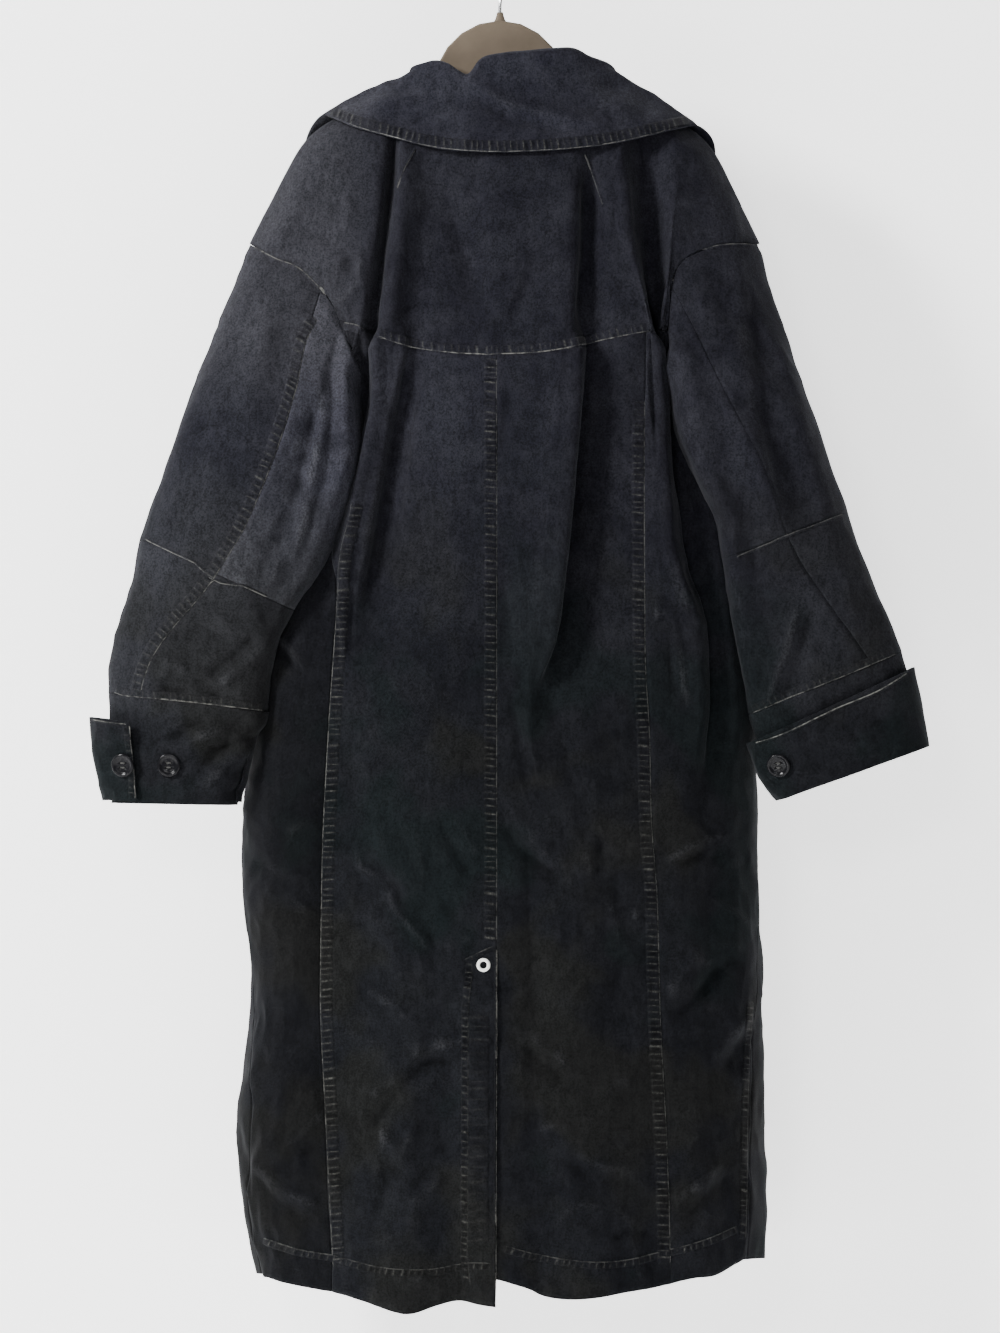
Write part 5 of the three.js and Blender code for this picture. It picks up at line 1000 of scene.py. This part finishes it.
def hanger():
    """The flat hanger with rounded rims, and the cone that holds its hook."""
    shape = cad_shape("hanger_body")
    bmesh.ops.dissolve_limit(
        shape,
        angle_limit=math.radians(2),
        use_dissolve_boundaries=False,
        verts=shape.verts,
        edges=shape.edges,
    )
    sharp = [edge for edge in shape.edges if edge.calc_face_angle(0) > math.radians(60)]
    bmesh.ops.bevel(
        shape,
        geom=sharp,
        offset=1.8 * MM,
        segments=4,
        profile=0.5,
        affect="EDGES",
        material=-1,
        clamp_overlap=True,
    )
    thing = settle(shape, "hanger_shoulders", materials["hanger"])
    thing.data.update()
    # The hanger's flat sides stay flat
    for polygon in thing.data.polygons:
        polygon.use_smooth = abs(polygon.normal.y) < 0.98
    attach(thing, "root")
    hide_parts("hanger_body")
    boss = settle(spun(BOSS, 32), "hanger_boss", materials["hanger"])
    boss.data.transform(Matrix.Translation((0, 0, -65.0 * MM)) @ Matrix.Diagonal((1.0, 0.62, 1.0, 1.0)))
    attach(boss, "root")


def hook():
    """The hook's wire, rounded."""
    shape = cad_shape("hanger_hook")
    bmesh.ops.join_triangles(shape, faces=shape.faces[:], angle_face_threshold=0.6, angle_shape_threshold=3.1)
    thing = settle(shape, "hook_wire", materials["hook"])
    smooth = thing.modifiers.new("smooth", "SUBSURF")
    smooth.levels = 2
    smooth.render_levels = 2
    thing = finished(thing)
    co = positions(thing.data)
    n = normals(thing.data)
    thing.data.vertices.foreach_set("co", (co + n * 0.1 * MM).ravel())
    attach(thing, "root")
    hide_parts("hanger_hook")


def material(name, rough, metal=0.0, sheen=0.0, gloss=0.5):
    made = bpy.data.materials.new(name)
    made.use_nodes = True
    shader = made.node_tree.nodes["Principled BSDF"]
    shader.inputs["Roughness"].default_value = rough
    shader.inputs["Metallic"].default_value = metal
    shader.inputs["Sheen Weight"].default_value = sheen
    shader.inputs["Specular IOR Level"].default_value = gloss
    return made, made.node_tree, shader


def link(tree, source, target):
    tree.links.new(source, target)


def math_node(tree, kind, a, b):
    node = tree.nodes.new("ShaderNodeMath")
    node.operation = kind
    for socket, value in zip(node.inputs, (a, b)):
        if isinstance(value, (int, float)):
            socket.default_value = value
        else:
            link(tree, value, socket)
    return node.outputs[0]


def times(tree, a, b):
    return math_node(tree, "MULTIPLY", a, b)


def plus(tree, a, b):
    return math_node(tree, "ADD", a, b)


def place_of(tree, kind="Object"):
    return tree.nodes.new("ShaderNodeTexCoord").outputs[kind]


def axes_of(tree, vector):
    node = tree.nodes.new("ShaderNodeSeparateXYZ")
    link(tree, vector, node.inputs[0])
    return node.outputs


def attribute(tree, name):
    node = tree.nodes.new("ShaderNodeAttribute")
    node.attribute_name = name
    return node.outputs["Fac"]


def noise_node(tree, vector, scale, detail=4.0, rough=0.55, stretch=None):
    if stretch:
        mapping = tree.nodes.new("ShaderNodeMapping")
        mapping.inputs["Scale"].default_value = stretch
        link(tree, vector, mapping.inputs["Vector"])
        vector = mapping.outputs[0]
    node = tree.nodes.new("ShaderNodeTexNoise")
    node.inputs["Scale"].default_value = scale
    node.inputs["Detail"].default_value = detail
    node.inputs["Roughness"].default_value = rough
    link(tree, vector, node.inputs["Vector"])
    return node.outputs["Fac"]


def spread(tree, value, low, high, out_low=0.0, out_high=1.0):
    node = tree.nodes.new("ShaderNodeMapRange")
    node.interpolation_type = "SMOOTHSTEP"
    link(tree, value, node.inputs["Value"])
    node.inputs["From Min"].default_value = low
    node.inputs["From Max"].default_value = high
    node.inputs["To Min"].default_value = out_low
    node.inputs["To Max"].default_value = out_high
    return node.outputs[0]


def mixed(tree, factor, a, b):
    node = tree.nodes.new("ShaderNodeMix")
    node.data_type = "RGBA"
    for socket, value in ((node.inputs[0], factor), (node.inputs[6], a), (node.inputs[7], b)):
        if isinstance(value, (int, float)):
            socket.default_value = value
        elif isinstance(value, tuple):
            socket.default_value = (*value, 1.0)
        else:
            link(tree, value, socket)
    return node.outputs[2]


def brushed_group():
    """Brushed cotton: cloudy washing, short nap and fine weave, as masks and a height."""
    group = bpy.data.node_groups.new("brushed_cotton", "ShaderNodeTree")
    group.interface.new_socket("Place", in_out="INPUT", socket_type="NodeSocketVector")
    group.interface.new_socket("Cloud size", in_out="INPUT", socket_type="NodeSocketFloat")
    for name in ("Clouds", "Nap", "Height"):
        group.interface.new_socket(name, in_out="OUTPUT", socket_type="NodeSocketFloat")
    start = group.nodes.new("NodeGroupInput")
    end = group.nodes.new("NodeGroupOutput")
    place = start.outputs["Place"]
    clouds = group.nodes.new("ShaderNodeTexNoise")
    clouds.inputs["Detail"].default_value = 6.0
    clouds.inputs["Roughness"].default_value = 0.62
    link(group, place, clouds.inputs["Vector"])
    link(group, start.outputs["Cloud size"], clouds.inputs["Scale"])
    streaks = noise_node(group, place, 170.0, 3.0, 0.7, (1.0, 1.0, 0.45))
    grain = noise_node(group, place, 520.0, 2.0, 0.7)
    nap = plus(group, times(group, streaks, 0.35), times(group, grain, 0.65))
    weave = group.nodes.new("ShaderNodeTexWave")
    weave.inputs["Scale"].default_value = 420.0
    weave.inputs["Distortion"].default_value = 1.5
    weave.inputs["Detail"].default_value = 1.0
    weave.bands_direction = "DIAGONAL"
    link(group, place, weave.inputs["Vector"])
    height = plus(group, nap, times(group, weave.outputs["Fac"], 0.25))
    link(group, clouds.outputs["Fac"], end.inputs["Clouds"])
    link(group, nap, end.inputs["Nap"])
    link(group, height, end.inputs["Height"])
    return group


def use_group(tree, group, place):
    node = tree.nodes.new("ShaderNodeGroup")
    node.node_tree = group
    link(tree, place, node.inputs["Place"])
    node.inputs["Cloud size"].default_value = 7.0
    return node.outputs


def bumped(tree, shader, height, strength, distance):
    bump = tree.nodes.new("ShaderNodeBump")
    bump.inputs["Strength"].default_value = strength
    bump.inputs["Distance"].default_value = distance
    link(tree, height, bump.inputs["Height"])
    link(tree, bump.outputs[0], shader.inputs["Normal"])


def cloth_colour(tree, place, brushed, wash, wear_and_highlight, deep):
    """Washed black, darker low down and greyer on the forearms; greyer still at the top left and on the left
    forearm as painted light from the left, pale on crests as wear and painted highlight, dark in dips as
    painted shade.

    The fifth argument holds the heights in mm where the crests' paling, wear and painted highlight, starts
    and is full, how much it shows, and its colour;
    deep is the depth in mm of a dip that takes the full painted shade."""
    axes = axes_of(tree, place)
    down = spread(tree, axes["Z"], -0.40, -0.80)
    leftward = spread(tree, axes["X"], -0.20, -0.27)
    rightward = spread(tree, axes["X"], 0.24, 0.29)
    dark = mixed(tree, down, (0.0062, 0.0062, 0.0090), (0.0030, 0.0033, 0.0043))
    grey = mixed(tree, down, (0.0160, 0.0162, 0.0205), (0.0074, 0.0078, 0.0092))
    clouds = spread(tree, brushed["Clouds"], 0.32, 0.70, 0.0, 0.50)
    patches = spread(tree, noise_node(tree, place, 40.0, 6.0, 0.65), 0.36, 0.66, -0.10, 0.26)
    # The forearms are painted greyer and the cuffs less, the left ones most, which is painted light from the
    # left
    above_cuff = spread(tree, axes["Z"], -0.75, -0.72, 0.25, 1.0)
    forearm = times(tree, spread(tree, axes["Z"], -0.48, -0.60), above_cuff)
    side = times(tree, forearm, plus(tree, leftward, times(tree, rightward, 0.45)))
    amount = plus(tree, plus(tree, clouds, patches), times(tree, side, 0.4))
    tone = mixed(tree, amount, dark, grey)
    tone = mixed(tree, times(tree, side, 0.3), tone, (0.0270, 0.0275, 0.0310))
    # The left shoulder is painted paler: painted light from the upper left
    shoulder = times(tree, spread(tree, axes["X"], -0.10, -0.17), spread(tree, axes["Z"], -0.47, -0.36))
    tone = mixed(tree, times(tree, shoulder, 0.6), tone, (0.0250, 0.0250, 0.0290))
    # The dye has washed out to brown in places and kept a green cast in others
    drift = noise_node(tree, place, 5.5, 3.0, 0.6)
    brown = times(tree, spread(tree, drift, 0.51, 0.60), times(tree, down, 0.6))
    green = times(tree, spread(tree, drift, 0.47, 0.39), times(tree, down, 0.55))
    tone = mixed(tree, brown, tone, (0.0068, 0.0069, 0.0060))
    tone = mixed(tree, green, tone, (0.0030, 0.0052, 0.0052))
    # Crests are painted pale as wear and painted highlight, and dips darker as painted shade
    crest = attribute(tree, "rubbed")
    low, high, paling_share, worn = wear_and_highlight
    wear_and_light = spread(tree, crest, low, high, 0.0, paling_share)
    broken = times(tree, wear_and_light, spread(tree, brushed["Nap"], 0.35, 0.65, 0.35, 1.0))
    tone = mixed(tree, broken, tone, worn)
    # Dips below their surroundings are darkened: painted shade
    painted_hollow_shade = spread(tree, crest, -0.10, -deep, 1.0, 0.42)
    nap = spread(tree, brushed["Nap"], 0.33, 0.67, 0.52 * wash, 1.55 * wash)
    # Each piece's set paling and darkening, painted light and shade on most pieces, scales its colour
    piece = plus(tree, attribute(tree, "faded"), 1.0)
    shade = tree.nodes.new("ShaderNodeVectorMath")
    shade.operation = "SCALE"
    link(tree, tone, shade.inputs[0])
    link(tree, times(tree, times(tree, nap, painted_hollow_shade), piece), shade.inputs["Scale"])
    return shade.outputs[0]


def wrinkled(tree, shader, place, brushed):
    """Fine washing wrinkles, stronger low down, under the nap's own relief."""
    much = spread(tree, axes_of(tree, place)["Z"], -0.45, -0.95, 0.30, 0.95)
    broad = tree.nodes.new("ShaderNodeTexNoise")
    broad.noise_type = "RIDGED_MULTIFRACTAL"
    broad.inputs["Scale"].default_value = 24.0
    broad.inputs["Detail"].default_value = 2.0
    broad.inputs["Roughness"].default_value = 0.5
    broad.inputs["Distortion"].default_value = 0.5
    link(tree, place, broad.inputs["Vector"])
    first = tree.nodes.new("ShaderNodeBump")
    first.inputs["Distance"].default_value = 5.0 * MM
    link(tree, much, first.inputs["Strength"])
    link(tree, broad.outputs["Fac"], first.inputs["Height"])
    second = tree.nodes.new("ShaderNodeBump")
    second.inputs["Strength"].default_value = 0.6
    second.inputs["Distance"].default_value = 0.6 * MM
    link(tree, brushed["Height"], second.inputs["Height"])
    link(tree, first.outputs[0], second.inputs["Normal"])
    link(tree, second.outputs[0], shader.inputs["Normal"])


def cotton(name, sheen_tint=None, gloss=0.5):
    """The start of a brushed cotton: material, tree, shader, place on the cloth."""
    mat, tree, shader = material(name, 0.95, sheen=0.05, gloss=gloss)
    shader.inputs["Sheen Roughness"].default_value = 0.45
    if sheen_tint:
        shader.inputs["Sheen Tint"].default_value = sheen_tint
    return mat, tree, shader, place_of(tree)


def speckled(name, rough, specks, dark, pale, metal=0.0, gloss=0.5, share=None, polish=None):
    """A material of two colours in fine specks, given as their scale, detail and roughness."""
    mat, tree, shader = material(name, rough, metal, gloss=gloss)
    fine = noise_node(tree, place_of(tree), *specks)
    part = spread(tree, fine, *share) if share else fine
    link(tree, mixed(tree, part, dark, pale), shader.inputs["Base Color"])
    if polish:
        link(tree, spread(tree, fine, 0.3, 0.8, *polish), shader.inputs["Roughness"])
    return mat, tree, shader


def make_materials():
    group = brushed_group()
    made = {}
    for name, wash in (("cloth", 1.0), ("collar", 1.45)):
        made[name], tree, shader, place = cotton(name, (0.62, 0.64, 0.70, 1.0), 0.05)
        brushed = use_group(tree, group, place)
        colour = cloth_colour(tree, place, brushed, wash, (0.4, 3.2, 0.30, (0.034, 0.035, 0.038)), 4.0)
        link(tree, colour, shader.inputs["Base Color"])
        wrinkled(tree, shader, place, brushed)
    made["seam"], tree, shader, place = cotton("seam", gloss=0.05)
    brushed = use_group(tree, group, place)
    base = cloth_colour(tree, place, brushed, 1.0, (-0.1, 1.2, 0.9, (0.040, 0.040, 0.036)), 1.8)
    edge = spread(tree, axes_of(tree, place_of(tree, "UV"))["Y"], 1.7, 0.8)
    worn = spread(tree, noise_node(tree, place, 130.0, 4.0, 0.7), 0.40, 0.60, 0.10, 1.0)
    amount = times(tree, times(tree, edge, worn), attribute(tree, "pale"))
    link(tree, mixed(tree, amount, base, (0.125, 0.125, 0.115)), shader.inputs["Base Color"])
    bumped(tree, shader, brushed["Height"], 0.5, 0.6 * MM)
    made["thread"], _, _ = speckled(
        "thread", 0.8, (1600.0, 1.0, 0.5), (0.012, 0.012, 0.012), (0.05, 0.05, 0.045)
    )
    made["button"], _, _ = speckled(
        "button",
        0.35,
        (240.0, 3.0, 0.6),
        (0.003, 0.003, 0.004),
        (0.008, 0.008, 0.009),
        gloss=0.12,
        polish=(0.14, 0.24),
    )
    made["eyelet"], _, _ = speckled(
        "eyelet", 0.35, (500.0, 3.0, 0.6), (0.80, 0.80, 0.77), (0.45, 0.44, 0.40), share=(0.62, 0.72)
    )
    made["hanger"], tree, shader = speckled(
        "hanger", 0.7, (45.0, 5.0, 0.6), (0.086, 0.066, 0.046), (0.128, 0.101, 0.073), gloss=0.25
    )
    bumped(tree, shader, noise_node(tree, place_of(tree), 1400.0, 2.0, 0.5), 0.25, 0.3 * MM)
    made["hook"], _, _ = speckled(
        "hook",
        0.18,
        (120.0, 3.0, 0.6),
        (0.55, 0.55, 0.56),
        (0.72, 0.72, 0.73),
        metal=1.0,
        polish=(0.12, 0.28),
    )
    return made


def set_camera():
    """Camera behind the coat, far off, with the picture's height across what it is to show."""
    camera = bpy.data.cameras.new("camera")
    distance = 7.0
    nearest_cloth = 0.05
    shown_height = 1.27968
    camera.sensor_width = 36.0
    camera.lens = 36.0 * (distance - nearest_cloth) / shown_height
    camera.clip_end = 60.0
    thing = new_object("camera", camera)
    thing.location = (0, -distance, -0.68952)
    thing.rotation_euler = (math.pi / 2, 0, 0)
    bpy.context.scene.camera = thing


def set_backdrop():
    """A pale sweep of floor and wall."""
    shape = bmesh.new()
    line = [
        (-4.0, -1.8), (-0.40, -1.8), (-0.20, -1.78), (0.0, -1.71), (0.11, -1.60), (0.15, -1.45), (0.15, 3.0),
    ]
    verts = [shape.verts.new((-6.0, y, z)) for y, z in line]
    lines = [shape.edges.new(pair) for pair in zip(verts, verts[1:])]
    made = bmesh.ops.extrude_edge_only(shape, edges=lines)
    ends = [part for part in made["geom"] if isinstance(part, bmesh.types.BMVert)]
    bmesh.ops.translate(shape, vec=(12.0, 0, 0), verts=ends)
    pale, _, shader = speckled("backdrop", 0.9, (1.5, 2.0, 0.5), (0.86, 0.86, 0.86), (0.90, 0.90, 0.90))
    shader.inputs["Emission Color"].default_value = (1.0, 1.0, 1.0, 1.0)
    shader.inputs["Emission Strength"].default_value = 1.5
    backdrop = settle(shape, "backdrop", pale)
    bend = backdrop.modifiers.new("bend", "SUBSURF")
    bend.levels = 2
    bend.render_levels = 2


def set_lights():
    """Dim even light from all round and two soft lamps: name, place, size in metres, power in watts."""
    world = bpy.data.worlds.new("room")
    bpy.context.scene.world = world
    world.use_nodes = True
    around = world.node_tree.nodes["Background"]
    around.inputs["Color"].default_value = (1.0, 1.0, 1.0, 1.0)
    around.inputs["Strength"].default_value = 0.12
    aim = Vector((0, 0, -0.7))
    lamps = (
        ("key", (-2.6, -1.9, 1.1), 0.8, 262.0),
        ("front", (-1.4, -6.0, 1.2), 1.2, 110.0),
    )
    for name, spot, size, power in lamps:
        lamp = bpy.data.lights.new(name, "AREA")
        lamp.size = size
        lamp.energy = power
        thing = new_object(name, lamp)
        thing.location = spot
        thing.rotation_euler = (aim - Vector(spot)).to_track_quat("-Z", "Y").to_euler()


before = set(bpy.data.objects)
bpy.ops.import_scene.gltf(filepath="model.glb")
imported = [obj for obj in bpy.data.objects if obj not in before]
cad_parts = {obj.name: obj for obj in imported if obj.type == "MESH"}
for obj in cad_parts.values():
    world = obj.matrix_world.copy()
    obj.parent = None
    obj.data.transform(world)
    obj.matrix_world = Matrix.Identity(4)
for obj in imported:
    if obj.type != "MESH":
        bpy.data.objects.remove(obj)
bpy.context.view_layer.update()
materials = make_materials()
skins = {}
rim_normals = {}
set_camera()
set_backdrop()
set_lights()
panels = [dense_mesh(*row[:3]) for row in PANELS]
share_rims(panels)
armholes = armhole_tree(panels)
small_parts = [node for node in sorted(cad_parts) if "button" in node or "eyelet" in node]
fastenings = [np.array(frame_of(node)[0]) for node in small_parts]
# Where a band follows the pieces' edges: region, its pieces, and how far in mm it keeps clear of the armholes
piece_edges = {
    region: edge_tree([panel for panel in panels if panel.name.startswith(starts)], clear)
    for region, starts, clear in (
        ("body", ("shell_back", "shell_side"), 0),
        ("arm", ("shell_sleeve",), 12),
        ("shoulder", ("shell_sleeve",), 0),
        ("collar", ("shell_collar",), 0),
    )
}
for panel, row in zip(panels, PANELS):
    cloth_piece(panel, row[0], *row[3:])
# What each region's bands are laid on
trees = {
    region: skins_tree([node for node in skins if node.startswith(starts)])
    for region, starts in (
        ("body", ("back", "side", "front")),
        ("arm", ("sleeve", "cuff_band")),
        ("turnback", ("cuff_turnback",)),
        ("collar", ("collar",)),
        ("shoulder", ("back", "side", "sleeve")),
    )
}
for seam in SEAMS:
    seam_strip(*seam)
for small_part in small_parts:
    if "button" in small_part:
        button(small_part)
eyelet()
hanger()
hook()
